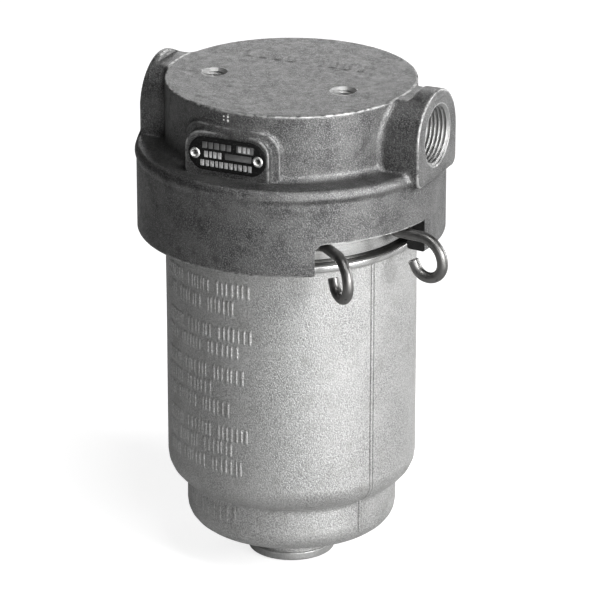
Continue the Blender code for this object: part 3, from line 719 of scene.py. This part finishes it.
def bowl_relief(angle, radius, z):
    """Cast marks on the outside: the parting line, its flash, plain ribs and slight waves."""
    degrees = np.degrees(angle)
    outer = (radius > 37.5) & (z < -57.8) & (z > -167.5)
    outer &= (radius > 44.0) | (z < -142)
    relief = 0.05 * np.sin(3 * angle + 0.05 * z) + 0.04 * np.sin(7 * angle - 0.11 * z + 1)
    for seam in SEAM_ANGLES:
        lower = z < -151
        away = (degrees - seam - np.where(lower, 0.8, 0) + 180) % 360 - 180
        run = np.radians(away) * np.where(lower, 38, 45)
        relief = relief + ridge(run, 0.6, 0.12) - ridge(np.abs(run) - 0.66, 0.27, 0.4)
        nub = np.exp(-((run / 0.9) ** 2) - ((z + 164.8) / 1.7) ** 2)
        relief = relief + 1.4 * nub + 0.25 * ridge(run, 0.5, 1.0) * lower
    front = (degrees + FACING + 180) % 360 - 180
    relief = relief + 0.3 * rib_relief(front, z) * (radius > 44)
    mark = np.clip((3.0 - np.abs(z + 155.6)) / 0.3, 0, 1) * (radius < 39)
    for centre in (-33, -38, -43, -48, -53, -58, -66, -71):
        mark_at = np.clip((1.1 - np.abs(front - centre)) / 0.4, 0, 1)
        relief = relief + 0.22 * mark_at * mark
    low = (radius > 15.3) & (radius < 16.0) & (z < -170) & (z > -176.9)
    low_run = np.radians((degrees - SEAM_ANGLES[0] + 180) % 360 - 180) * 15.5
    nub = 0.25 * np.exp(-((low_run / 0.8) ** 2) - ((z + 175.6) / 0.9) ** 2)
    return np.where(outer, relief - 0.1, 0) + np.where(low, nub, 0)


def bowl_angles():
    """Columns close together at the ribs and at the parting lines, and wider elsewhere."""
    coarse = np.arange(-180, 180, 1.5)
    ribs = np.arange(-75, -12, 0.28) - FACING
    seams = [seam + np.arange(-2.2, 3.0, 0.13) for seam in SEAM_ANGLES]
    fine = np.concatenate([ribs] + seams)
    fine = (fine + 180) % 360 - 180
    gap = np.abs((coarse[:, None] - fine[None, :] + 180) % 360 - 180).min(axis=1)
    angles = np.concatenate([coarse[gap > 0.6], fine])
    return np.radians(np.unique(np.round(angles, 3)))


def bowl_row_step(z):
    if -58 > z > -137:
        return 0.5
    return 0.8 if -180 < z < -150 else 3.0


def make_bowl():
    profile = dense(bowl_profile(), bowl_row_step)
    bowl = lathe("bowl_visual", profile, relief=bowl_relief, angles=bowl_angles())
    fit(bowl, "bowl", "bowl_casting", "cast_bowl", 40)
    o_ring = lathe("bowl_o_ring_visual", arc((41.75, -30.9), 1.1, 90, -258, 29), FINE)
    fit(o_ring, "bowl", "bowl_o_ring", "seal_rubber", 32)


# --- snap ring ---


def hook_points(root, angle):
    """The hook in its own upright plane: out, down, and curled back under."""
    out = np.array([math.cos(math.radians(angle)), math.sin(math.radians(angle)), 0])
    up = np.array([0, 0, 1.0])
    at, heading = np.array(root, float), 0.0
    points = []
    for size, turn, count in HOOK_RUNS:
        bend = math.radians(turn) / count
        length = 2 * size * math.sin(bend / 2) if turn else size / count
        for _ in range(count):
            heading -= bend / 2
            at = at + (math.cos(heading) * out + math.sin(heading) * up) * length
            points.append(at)
            heading -= bend / 2
    return points


def half_ring(last_angle, hook_angle, first_angle):
    """The points from the ring's back to one hook's tip."""
    def on_ring(degrees):
        a = math.radians(degrees)
        return np.array([RING_RADIUS * math.cos(a), RING_RADIUS * math.sin(a), RING_Z])

    ease = math.copysign(3.0, last_angle - first_angle)
    ring_points = [on_ring(a) for a in np.linspace(first_angle, last_angle - ease, 90)]
    root = on_ring(last_angle)
    hook = hook_points(root, hook_angle)
    away = (hook[-1] - root) * (1, 1, 0)
    after = root + 2.6 * away / np.linalg.norm(away)
    bend = [(1 - t) ** 2 * ring_points[-1] + 2 * t * (1 - t) * root + t ** 2 * after
            for t in np.linspace(0, 1, 13)[1:]]
    hook = [p for p in hook if np.linalg.norm((p - root)[:2]) > 3.0 or p[2] < RING_Z - 0.5]
    return ring_points + bend + hook


def make_snap_ring():
    """One wire with a hook at each end, whose two halves meet in the middle of its back."""
    left = half_ring(-51.9, -39.4, RING_BACK_ANGLE - 360)
    right = half_ring(-17.2, -6.2, RING_BACK_ANGLE)
    snap_ring = tube("snap_ring_visual", left[::-1] + right[1:], WIRE_RADIUS, 32, 0.25)
    finish(snap_ring, "spring_steel", 40)
    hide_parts("snap_ring_left", "snap_ring_right")
    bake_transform(snap_ring)


# --- filter element ---


def make_bell():
    corners = [
        (13.5, -34.1), (35.0, -34.1, 4.0), (35.0, -104.4), (35.0, -105.0, 0.3), (33.8, -105.0, 0.3),
        (33.8, -35.3, 2.8), (13.5, -35.3),
    ]
    bell = lathe("baffle_bell_visual", dense(rounded(corners), lambda z: 2.0), FINE,
                 lambda a, r, z: 0.03 * np.sin(2 * a + 0.04 * z))
    fit(bell, "head", "baffle_bell", "stainless_sheet")


def make_media():
    """Felt with soft, slightly uneven pleats on its outer side."""
    heights = np.concatenate([[-39.2], np.linspace(-39.6, -111.4, 60), [-111.8]])
    profile = [(26.3, z) for z in heights] + [(14.0, -111.8), (14.0, -39.2)]

    def pleats(angle, radius, z):
        wave = np.abs(np.sin(24 * angle + 0.12 * np.sin(0.13 * z)))
        return np.where(radius > 20, -1.1 * (1 - wave) + 0.1 * np.sin(5 * angle + 0.2 * z), 0)

    fit(lathe("filter_media_visual", profile, 480, pleats), "head", "filter_media", "filter_felt", 60)


def make_core():
    core = ring("element_core_tube_visual", (13.0, 13.7), (-39.2, -111.8), 0.1)
    tools = []
    for n in range(6):
        for k in range(10):
            angle = math.radians(30 * n + (15 if k % 2 else 0))
            axis = (math.cos(angle), math.sin(angle))
            turn = ((-axis[1], 0, axis[0]), (axis[0], 0, axis[1]), (0, 1, 0))
            tools.append(put(plain_hole("core_hole", 1.6, 16, -16, 12), turn, (0, 0, -44.5 - 7.0 * k)))
    carve(core, tools)
    fit(core, "head", "element_core_tube", "zinc_plate")


def make_caps():
    top = [
        (27.5, -37.7, 0.8), (27.5, -41.7, 0.2), (26.9, -41.7, 0.2), (26.9, -38.9, 0.3),
        (13.8, -38.9), (13.8, -37.7, 0.3), (18.6, -37.7, 0.3), (19.2, -38.1, 0.3), (20.4, -38.1, 0.3),
        (21.0, -37.7, 0.3),
    ]
    turned("element_top_cap", "head", "zinc_plate", top, FINE)
    bottom = [
        (27.5, -109.3, 0.2), (27.5, -113.3, 0.8), (21.0, -113.3, 0.3), (20.4, -112.9, 0.3),
        (19.2, -112.9, 0.3), (18.6, -113.3, 0.3), (3.5, -113.3, 0.2), (3.5, -112.1), (26.9, -112.1, 0.3),
        (26.9, -109.3, 0.2),
    ]
    turned("element_bottom_cap", "head", "zinc_plate", bottom, FINE)


def make_gaskets():
    sizes = (
        ("hub_gasket", (13.8, 16.8), (-32.3, -33.8)),
        ("element_gasket_top", (13.8, 18.0), (-35.6, -37.4)),
        ("element_gasket_bottom", (3.5, 9.0), (-113.6, -115.0)),
    )
    for node, radii, heights in sizes:
        gasket = ring(f"{node}_visual", radii, heights, 0.3, relief=lambda a, r, z: 0.04 * np.sin(9 * a))
        fit(gasket, "head", node, "seal_rubber")


def make_tie_rod():
    """The rod with rolled threads at both ends, and its washer."""
    heights = np.concatenate([[-8.0, -8.5], np.arange(-9, -15, -0.1), [-16, -60, -98],
                              np.arange(-100, -123.4, -0.1), [-123.5, -124.0]])
    angles = around(48)
    z = spread(heights, 48)
    radii = 3.0 - np.where((z > -15) | (z < -99), thread(angles[None, :], z, 1.0, 0.45), 0)
    radii = np.minimum(radii, 2.4 + np.minimum(-8.0 - z, z + 124.0))
    rod = polar("tie_rod_visual", radii, z, angles, (-8.0, -124.0))
    fit(rod, "head", "tie_rod", "zinc_plate", 50)
    washer = ring("tie_rod_washer_visual", (3.4, 9.0), (-115.3, -116.5), 0.2)
    fit(washer, "head", "tie_rod_washer", "zinc_plate")


def make_nut():
    """A hexagon nut, chamfered at both faces and at both mouths of its bore."""
    top, bottom = -116.8, -121.8
    eased = np.array([0, 0.3, 0.7, 1.2])
    z = spread([*(top - eased), *(bottom + eased[::-1])], 144)
    angles = around(144)
    flat = 5.0 / np.cos((angles + math.pi / 6) % (math.pi / 3) - math.pi / 6)
    outside = np.minimum(flat[None, :], 4.95 + 1.73 * np.minimum(top - z, z - bottom))
    nut = polar("tie_rod_nut_visual", outside, z, angles, (top, bottom))
    bore = [(0, top + 1), (4.2, top + 1), (3.2, top), (3.2, bottom), (4.2, bottom - 1), (0, bottom - 1)]
    carve(nut, [lathe("nut_bore", bore, 48)])
    fit(nut, "head", "tie_rod_nut", "zinc_plate", 25)


# --- drain ---


def make_drain_plate():
    corners = [
        (3.4, -144.0, 0.2), (8.5, -144.0, 0.5), (8.5, -149.8, 0.8), (32.7, -149.8, 0.4),
        (32.7, -150.4), (30.4, -150.4), (30.4, -152.6), (32.7, -152.6), (32.7, -153.0, 0.1),
        (6.8, -153.0, 0.3), (6.8, -147.0), (3.4, -147.0),
    ]
    plate = lathe("drain_seat_plate_visual", rounded(corners), FINE)
    hole = [(0, -148), (2.6, -148), (2.6, -149.6), (2.0, -150.2), (2.0, -155), (0, -155)]
    carve(plate, [put(lathe("drain_hole", hole, 32), UPRIGHT, (14 * math.cos(a), 14 * math.sin(a), 0))
                  for a in around(6) + math.radians(30)])
    fit(plate, "bowl", "drain_seat_plate", "turned_brass")
    o_ring = lathe("drain_seat_o_ring_visual", arc((31.55, -151.5), 0.85, 90, -258, 23), FINE)
    fit(o_ring, "bowl", "drain_seat_o_ring", "seal_rubber")
    clip = ring("drain_retaining_ring_visual", (30.6, 33.9), (-148.0, -149.4), 0.15, FINE)
    carve(clip, [layered("clip_gap", [[(25, -5), (40, -8), (40, 8), (25, 5)]], [(-152, 0), (-145, 0)])])
    fit(clip, "bowl", "drain_retaining_ring", "spring_steel")


def make_strainer():
    def weave(angle, radius, z):
        return 0.07 * np.sin(110 * angle) * np.sin(5.2 * z) * (radius > 20.3)

    profile = rounded([(20.52, -137.6), (20.52, -149.5), (20.05, -149.5), (20.05, -137.6)])
    gauze = lathe("strainer_gauze_visual", dense(profile, lambda z: 0.25), 660, weave)
    fit(gauze, "bowl", "strainer_gauze", "stainless_sheet", 60)
    cap = [
        (0, -136.5), (7.0, -136.5, 0.8), (8.0, -136.1, 0.8), (21.6, -136.1, 1.2), (21.6, -139.5, 0.2),
        (20.9, -139.5, 0.2), (20.9, -137.3, 0.5), (0, -137.3),
    ]
    turned("strainer_cap", "bowl", "stainless_sheet", cap, FINE, closed=False)


def make_drain_valve():
    bush = [
        (5.0, -162.2, 0.15), (6.2, -162.2, 0.15), (6.2, -162.9), (10.0, -162.9, 0.3), (10.0, -163.7),
        (8.0, -163.7), (8.0, -180.2, 0.4), (4.5, -180.2, 0.3), (4.5, -162.7),
    ]
    turned("outlet_seat_bush", "bowl", "turned_brass", bush)
    seal = ring("drain_valve_seal_visual", (2.4, 7.0), (-160.4, -161.9), 0.2)
    fit(seal, "drain_valve", "drain_valve_seal", "seal_rubber")
    body = [
        (0, -143.2), (3.0, -143.2, 0.5), (3.0, -157.6, 0.2), (8.0, -157.6, 0.5), (8.0, -161.4, 0.3),
        (7.3, -161.4), (7.3, -160.1), (2.3, -160.1), (2.3, -154.0), (0, -154.0),
    ]
    turned("drain_valve_body", "drain_valve", "turned_brass", body, closed=False)
    pin = [
        (0, -154.3), (2.0, -154.3, 0.3), (2.0, -177.4, 0.2), (3.2, -177.8, 0.2), (3.2, -179.0, 0.2),
        (2.7, -179.5, 0.2), (0, -179.5),
    ]
    turned("test_pin", "drain_valve", "turned_brass", pin, 48, closed=False)


def make_spring():
    """A coil with closed ends."""
    turns = np.linspace(0, 6.4, 270)
    share = np.clip((turns - 0.7) / 5.0, 0, 1)
    heights = -147.8 - 9.0 * (3 * share ** 2 - 2 * share ** 3) * 0.35 - 9.0 * share * 0.65
    angles = 2 * math.pi * turns
    path = np.stack([5.0 * np.cos(angles), 5.0 * np.sin(angles), heights], axis=-1)
    spring = tube("drain_valve_spring_visual", path, 0.48, 14, 0.1)
    fit(spring, "bowl", "drain_valve_spring", "spring_steel", 60)
    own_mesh(spring)


# --- materials ---


class Paint:
    """A node material whose textures are measured in millimetres on the object."""

    def __init__(self, name, metallic=0.0):
        self.material = bpy.data.materials.new(name)
        self.material.use_nodes = True
        self.tree = self.material.node_tree
        self.shader = self.tree.nodes["Principled BSDF"]
        self.shader.inputs["Metallic"].default_value = metallic
        place = self.node("ShaderNodeTexCoord").outputs["Object"]
        scale = self.node("ShaderNodeMapping", Vector=place)
        scale.inputs["Scale"].default_value = (1000, 1000, 1000)
        self.at = scale.outputs["Vector"]
        split = self.node("ShaderNodeSeparateXYZ", Vector=self.at)
        self.x, self.y, self.z = (split.outputs[n] for n in "XYZ")
        self.colour = self.height = None

    def node(self, kind, **inputs):
        made = self.tree.nodes.new(kind)
        for name, value in inputs.items():
            self.feed(made.inputs[name.replace("_", " ")], value)
        return made

    def feed(self, socket, value):
        if isinstance(value, bpy.types.NodeSocket):
            self.tree.links.new(value, socket)
        else:
            socket.default_value = value

    def maths(self, operation, a, b=0.0, clamp=False):
        made = self.tree.nodes.new("ShaderNodeMath")
        made.operation = operation
        made.use_clamp = clamp
        self.feed(made.inputs[0], a)
        self.feed(made.inputs[1], b)
        return made.outputs[0]

    def times(self, *shares):
        """The product of two or more shares."""
        product = shares[0]
        for share in shares[1:]:
            product = self.maths("MULTIPLY", product, share)
        return product

    def most(self, *shares):
        """The largest of two or more shares."""
        largest = shares[0]
        for share in shares[1:]:
            largest = self.maths("MAXIMUM", largest, share)
        return largest

    def ramp(self, value, low, high, to_low=0.0, to_high=1.0):
        """Runs from to_low to to_high as the value goes from low to high."""
        made = self.node("ShaderNodeMapRange", Value=value)
        made.interpolation_type = "SMOOTHSTEP"
        for name, number in (("From Min", low), ("From Max", high), ("To Min", to_low), ("To Max", to_high)):
            made.inputs[name].default_value = number
        return made.outputs["Result"]

    def noise(self, size, detail=2.0, roughness=0.5, stretch=None):
        """Noise from about 0 to 1 whose features are this many millimetres across."""
        place = self.at
        if stretch:
            place = self.node("ShaderNodeMapping", Vector=place)
            place.inputs["Scale"].default_value = stretch
            place = place.outputs["Vector"]
        made = self.node("ShaderNodeTexNoise", Vector=place, Scale=1.0 / size, Detail=detail,
                         Roughness=roughness)
        return made.outputs["Fac"]

    def cells(self, size):
        made = self.node("ShaderNodeTexVoronoi", Vector=self.at, Scale=1.0 / size)
        return made.outputs["Distance"]

    def blend(self, share, a, b):
        made = self.tree.nodes.new("ShaderNodeMix")
        made.data_type = "RGBA"
        self.feed(made.inputs["Factor"], share)
        for socket, value in ((made.inputs[6], a), (made.inputs[7], b)):
            self.feed(socket, value if isinstance(value, bpy.types.NodeSocket) else (*value, 1.0))
        return made.outputs[2]

    def coat(self, share, colour):
        """Lays a colour over the ones before it."""
        self.colour = self.blend(share, self.colour, colour)

    def radius(self):
        return self.maths("SQRT", self.maths("ADD", self.times(self.x, self.x), self.times(self.y, self.y)))

    def about(self, first, second, centre, reach):
        """1 within this reach of the line where these two coordinates are the centre's."""
        across = self.maths("SUBTRACT", first, centre[0])
        above = self.maths("SUBTRACT", second, centre[1])
        away = self.maths("ADD", self.times(across, across), self.times(above, above))
        return self.ramp(away, (reach + 0.1) ** 2, (reach - 0.1) ** 2)

    def edge(self, low=0.52, high=0.6):
        """1 on outer edges, where handling has rubbed the surface."""
        return self.ramp(self.node("ShaderNodeNewGeometry").outputs["Pointiness"], low, high)

    def bump(self, height, distance, strength=1.0):
        """Adds a bump of this height in millimetres."""
        made = self.node("ShaderNodeBump", Height=height, Strength=strength, Distance=distance * MM)
        if self.height:
            self.feed(made.inputs["Normal"], self.height)
        self.height = made.outputs["Normal"]

    def done(self, roughness):
        self.feed(self.shader.inputs["Base Color"], self.colour)
        self.feed(self.shader.inputs["Roughness"], roughness)
        if self.height:
            self.feed(self.shader.inputs["Normal"], self.height)
        return self.material


def turned_lines(paint, along, pitch):
    """Fine lines left by a lathe tool, as a height from 0 to 1."""
    uneven = paint.node("ShaderNodeTexNoise", Scale=1.0 / pitch, Detail=1.0)
    combined = paint.node("ShaderNodeCombineXYZ", Z=along)
    paint.feed(uneven.inputs["Vector"], combined.outputs["Vector"])
    return uneven.outputs["Fac"]


def window_end_shade(paint):
    """1 on the right end wall of the skirt's window, which is painted dark as shade."""
    end = math.radians(WINDOW_ANGLES[1])
    past = paint.maths("SUBTRACT", paint.times(paint.y, math.cos(end)), paint.times(paint.x, math.sin(end)))
    return paint.times(paint.ramp(past, 0.6, 0.2), paint.ramp(past, -2.0, -1.5),
                       paint.ramp(paint.z, -43.1, -43.5), paint.ramp(paint.x, 40.0, 41.0))


def cast_head():
    """Dark burnished cast metal with a sand grain, bare where a tool has cut or struck it, with painted
    highlights on its rubbed edges and round the drum's top edge, and painted shade on the right end wall of
    the skirt's window.
    """
    paint = Paint("cast_head_detail", metallic=0.8)
    patches = paint.ramp(paint.noise(9.0, 4.0, 0.6), 0.3, 0.7)
    dark = paint.blend(patches, (0.072, 0.072, 0.073), (0.150, 0.150, 0.149))
    grain = paint.noise(0.45, 3.0, 0.65)
    paint.colour = paint.blend(paint.ramp(grain, 0.42, 0.70), dark, (0.29, 0.29, 0.288))
    top = paint.ramp(paint.z, -1.0, -0.3)
    blotches = paint.ramp(paint.noise(5.5, 6.0, 0.65), 0.44, 0.62)
    paint.coat(paint.times(top, paint.times(blotches, 0.3)), (0.36, 0.36, 0.355))
    stains = paint.ramp(paint.noise(6.0, 5.0, 0.6), 0.54, 0.72)
    paint.coat(paint.times(stains, 0.55), (0.045, 0.045, 0.045))
    radius = paint.radius()
    # painted highlight: a pale band round the drum's top edge
    top_edge_highlight = paint.times(paint.ramp(radius, 43.8, 44.2), paint.ramp(paint.z, -0.9, -0.5),
                       paint.ramp(radius, 45.2, 44.9))
    # rubbed edges, partly real wear and partly painted highlight, together with the painted highlight band,
    # are coated pale
    worn = paint.times(paint.most(paint.edge(0.51, 0.57), top_edge_highlight),
                       paint.ramp(paint.noise(2.4, 4.0), 0.32, 0.58))
    paint.coat(worn, (0.62, 0.62, 0.615))
    machined = paint.times(paint.ramp(radius, 48.95, 48.85), paint.ramp(paint.z, -24.6, -25.0))
    dots = paint.times(paint.about(paint.x, paint.z, DOTS, 1.6), paint.ramp(radius, 44.68, 44.6),
                       paint.ramp(paint.y, -39.0, -41.0))
    sockets = paint.times(paint.about(paint.y, paint.z, (0.0, PORT_Z), 11.5),
                          paint.ramp(paint.maths("ABSOLUTE", paint.x), 38.0, 38.5), 0.45)
    holes = [paint.times(paint.about(paint.x, paint.y, hole, 4.9), paint.ramp(paint.z, 0.0, -0.1))
             for hole in MOUNT_HOLES]
    paint.coat(paint.most(machined, dots, sockets, *holes), (0.56, 0.56, 0.555))
    paint.coat(dots, (0.95, 0.95, 0.94))
    # painted shade: the window's right end wall is coloured near black
    paint.coat(window_end_shade(paint), (0.035, 0.035, 0.035))
    rough = paint.ramp(paint.noise(2.2, 3.0), 0.3, 0.7, 0.34, 0.50)
    paint.bump(grain, 0.26, 0.8)
    paint.bump(paint.noise(1.6, 2.0), 0.14, 0.6)
    return paint.done(rough)


def cast_bowl():
    """Paler cast metal with a frosted grain, and turned where the neck and outlet are cut, with painted
    shade in the groove below the neck.
    """
    paint = Paint("cast_bowl_detail", metallic=0.9)
    patches = paint.ramp(paint.noise(20, 4.0), 0.3, 0.7)
    grain = paint.noise(0.5, 3.0, 0.7)
    base = paint.blend(patches, (0.27, 0.27, 0.267), (0.38, 0.38, 0.375))
    paint.colour = paint.blend(paint.ramp(grain, 0.36, 0.64), base, (0.60, 0.60, 0.595))
    upper = paint.ramp(paint.z, -57.4, -57.1)
    lower = paint.ramp(paint.z, -177.3, -177.6)
    within = paint.ramp(paint.radius(), 41.0, 40.6)
    floor = paint.ramp(paint.z, -146.9, -146.5)
    turned = paint.maths("ADD", upper, paint.times(lower, 0.6))
    turned = paint.maths("MAXIMUM", turned, paint.times(within, floor), clamp=True)
    paint.coat(turned, (0.58, 0.58, 0.575))
    # painted shade: the groove below the neck is coloured dark
    groove = paint.times(paint.ramp(paint.z, -53.2, -53.7), paint.ramp(paint.z, -55.1, -54.8))
    paint.coat(groove, (0.07, 0.07, 0.068))
    stain = paint.ramp(paint.noise(6.0, 4.0), 0.52, 0.75)
    paint.coat(paint.times(stain, 0.35), (0.30, 0.295, 0.28))
    lines = turned_lines(paint, paint.z, 0.22)
    cast_rough = paint.ramp(grain, 0.3, 0.7, 0.42, 0.56)
    turned_rough = paint.ramp(lines, 0.3, 0.7, 0.22, 0.34)
    rough = paint.node("ShaderNodeMix", Factor=turned)
    paint.feed(rough.inputs[2], cast_rough)
    paint.feed(rough.inputs[3], turned_rough)
    cast = paint.maths("SUBTRACT", 1.0, turned, clamp=True)
    paint.bump(paint.times(grain, cast), 0.26, 0.8)
    paint.bump(paint.times(lines, turned), 0.05, 0.7)
    return paint.done(rough.outputs[0])


def enamel():
    """Black stoved enamel with dust in it."""
    paint = Paint("black_plate_detail")
    paint.shader.inputs["Specular IOR Level"].default_value = 0.02
    specks = paint.ramp(paint.noise(0.35, 2.0), 0.62, 0.72)
    paint.colour = paint.blend(paint.noise(4.0, 3.0), (0.006, 0.006, 0.006), (0.014, 0.014, 0.014))
    paint.coat(paint.times(specks, 0.5), (0.10, 0.10, 0.10))
    paint.bump(paint.noise(0.8, 2.0), 0.03, 0.5)
    return paint.done(paint.ramp(paint.noise(1.5, 3.0), 0.3, 0.7, 0.30, 0.50))


def metal(name, dark, pale, roughness, grain=0.6, depth=0.02, stains=(0.2, 0.19, 0.17), lines=None):
    """Bare or plated metal with brushed or turned marks, stains and rubbed edges."""
    paint = Paint(name, metallic=1.0)
    paint.colour = paint.blend(paint.noise(7.0, 4.0), dark, pale)
    spots = paint.ramp(paint.noise(1.8, 4.0), 0.58, 0.75, 0.0, 0.6)
    paint.coat(spots, stains)
    brighter = tuple(min(1.0, 1.35 * c) for c in pale)
    paint.coat(paint.edge(), brighter)
    rough = paint.ramp(paint.noise(1.2, 3.0), 0.3, 0.7, roughness[0], roughness[1])
    paint.bump(paint.noise(grain, 3.0), depth, 0.6)
    if lines:
        along = paint.z if lines == "z" else paint.radius()
        paint.bump(turned_lines(paint, along, 0.18), 0.03, 0.6)
    return paint.done(rough)


def rubber():
    paint = Paint("seal_rubber_detail")
    paint.colour = paint.blend(paint.noise(3.0, 3.0), (0.012, 0.012, 0.012), (0.028, 0.027, 0.026))
    bloom = paint.ramp(paint.noise(0.9, 4.0), 0.55, 0.8, 0.0, 0.5)
    paint.coat(bloom, (0.08, 0.078, 0.074))
    paint.bump(paint.noise(0.3, 2.0), 0.02, 0.5)
    return paint.done(paint.ramp(paint.noise(1.0), 0.3, 0.7, 0.5, 0.7))


def felt():
    """Matted fibres, dirtier in patches and at the foot."""
    paint = Paint("filter_felt_detail")
    fibres = paint.noise(0.5, 6.0, 0.75, stretch=(1, 1, 0.35))
    paint.colour = paint.blend(fibres, (0.50, 0.45, 0.35), (0.74, 0.70, 0.60))
    dirt = paint.ramp(paint.noise(11.0, 4.0), 0.4, 0.75, 0.0, 0.5)
    paint.coat(dirt, (0.30, 0.26, 0.19))
    foot = paint.times(paint.ramp(paint.z, -85.0, -112.0), 0.35)
    paint.coat(foot, (0.26, 0.22, 0.16))
    paint.bump(fibres, 0.5, 0.8)
    paint.shader.inputs["Sheen Weight"].default_value = 0.3
    return paint.done(paint.ramp(fibres, 0.2, 0.8, 0.85, 1.0))


METALS = {  # dark and pale colour, roughness, and what else differs from a plain metal
    "bare_field": ((0.60, 0.60, 0.60), (0.76, 0.76, 0.76), (0.34, 0.5), {"grain": 0.3, "depth": 0.03}),
    "dull_field": ((0.12, 0.12, 0.12), (0.19, 0.19, 0.19), (0.45, 0.6), {"grain": 0.3, "depth": 0.03}),
    "rivet_metal": ((0.74, 0.74, 0.73), (0.88, 0.88, 0.87), (0.40, 0.52), {}),
    "spring_steel": ((0.14, 0.138, 0.135), (0.27, 0.268, 0.262), (0.34, 0.48),
                     {"grain": 0.4, "depth": 0.03, "stains": (0.045, 0.045, 0.045)}),
    "stainless_sheet": ((0.48, 0.48, 0.47), (0.60, 0.60, 0.59), (0.24, 0.36),
                        {"grain": 0.5, "stains": (0.33, 0.31, 0.28), "lines": "z"}),
    "zinc_plate": ((0.44, 0.45, 0.46), (0.58, 0.59, 0.60), (0.34, 0.50),
                   {"grain": 1.4, "depth": 0.03, "stains": (0.36, 0.37, 0.36)}),
    "turned_brass": ((0.55, 0.40, 0.18), (0.70, 0.53, 0.26), (0.24, 0.38),
                     {"stains": (0.30, 0.20, 0.10), "lines": "radius"}),
}


# --- camera, floor and light ---


CAMERA_AT = (0.6019, -1.2874, 0.4705)
CAMERA_DOWN = 21.287
CAMERA_ROUND = 25
CAMERA_LENS = 258.6
LIGHT_AWAY = 1.5
LIGHTS = (  # name, angle from +X, angle above the floor, watts and side
    ("key", -16, 22, 20, 0.5),
    ("low", -22, 5, 10, 0.7),
    ("front", -52, 6, 7, 0.7),
    ("side", 52, 7, 13, 0.7),
    ("back", 115, 22, 4, 0.7),
    ("over", -50, 66, 8, 0.35),
)


def make_camera():
    data = bpy.data.cameras.new("camera")
    data.lens = CAMERA_LENS
    data.sensor_width = 36.0
    data.clip_start = 0.05
    data.clip_end = 50.0
    camera = shown("camera", data)
    camera.location = CAMERA_AT
    camera.rotation_euler = (math.radians(90 - CAMERA_DOWN), 0, math.radians(CAMERA_ROUND))
    bpy.context.scene.camera = camera


def make_floor():
    mesh = bpy.data.meshes.new("floor")
    z = CAD_BOX[0].z - 0.0005
    mesh.from_pydata([(-6, -6, z), (6, -6, z), (6, 6, z), (-6, 6, z)], [], [(0, 1, 2, 3)])
    paint = Paint("floor_pale")
    paint.colour = paint.blend(paint.noise(400.0, 2.0), (0.47, 0.47, 0.47), (0.50, 0.50, 0.50))
    seen = paint.node("ShaderNodeLightPath").outputs["Is Camera Ray"]
    paint.shader.inputs["Emission Color"].default_value = (1, 1, 1, 1)
    paint.feed(paint.shader.inputs["Emission Strength"], paint.times(seen, 0.78))
    mesh.materials.append(paint.done(0.9))
    shown("floor", mesh)


def make_light(name, azimuth, elevation, power, size):
    """A square soft light, aimed at the middle of the filter."""
    data = bpy.data.lights.new(name, "AREA")
    data.shape = "SQUARE"
    data.size = size
    data.energy = power
    lamp = shown(name, data)
    a, e = math.radians(azimuth), math.radians(elevation)
    away = Vector((math.cos(e) * math.cos(a), math.cos(e) * math.sin(a), math.sin(e)))
    lamp.location = Vector((0, 0, -0.08)) + LIGHT_AWAY * away
    lamp.rotation_euler = away.to_track_quat("Z", "Y").to_euler()
    lamp.visible_camera = False


def make_lights():
    for light in LIGHTS:
        make_light(*light)
    world = bpy.data.worlds.new("studio")
    world.use_nodes = True
    nodes = world.node_tree.nodes
    background = nodes["Background"]
    background.inputs["Color"].default_value = (1.0, 1.0, 1.0, 1.0)
    seen = nodes.new("ShaderNodeLightPath").outputs["Is Camera Ray"]
    strength = nodes.new("ShaderNodeMapRange")
    strength.inputs["To Min"].default_value = 0.02
    world.node_tree.links.new(seen, strength.inputs["Value"])
    world.node_tree.links.new(strength.outputs["Result"], background.inputs["Strength"])
    bpy.context.scene.world = world
    bpy.context.scene.view_settings.view_transform = "Standard"


# --- build ---

PAINT = {
    "cast_head": cast_head(),
    "cast_bowl": cast_bowl(),
    "black_plate": enamel(),
    "seal_rubber": rubber(),
    "filter_felt": felt(),
}
for paint_name, (dark, pale, roughness, rest) in METALS.items():
    PAINT[paint_name] = metal(f"{paint_name}_detail", dark, pale, roughness, **rest)

make_head()
make_name_plate()
make_rivets()
make_bowl()
make_snap_ring()
make_bell()
make_media()
make_core()
make_caps()
make_gaskets()
make_tie_rod()
make_nut()
make_drain_plate()
make_strainer()
make_drain_valve()
make_spring()
make_camera()
make_floor()
make_lights()

bpy.context.view_layer.update()
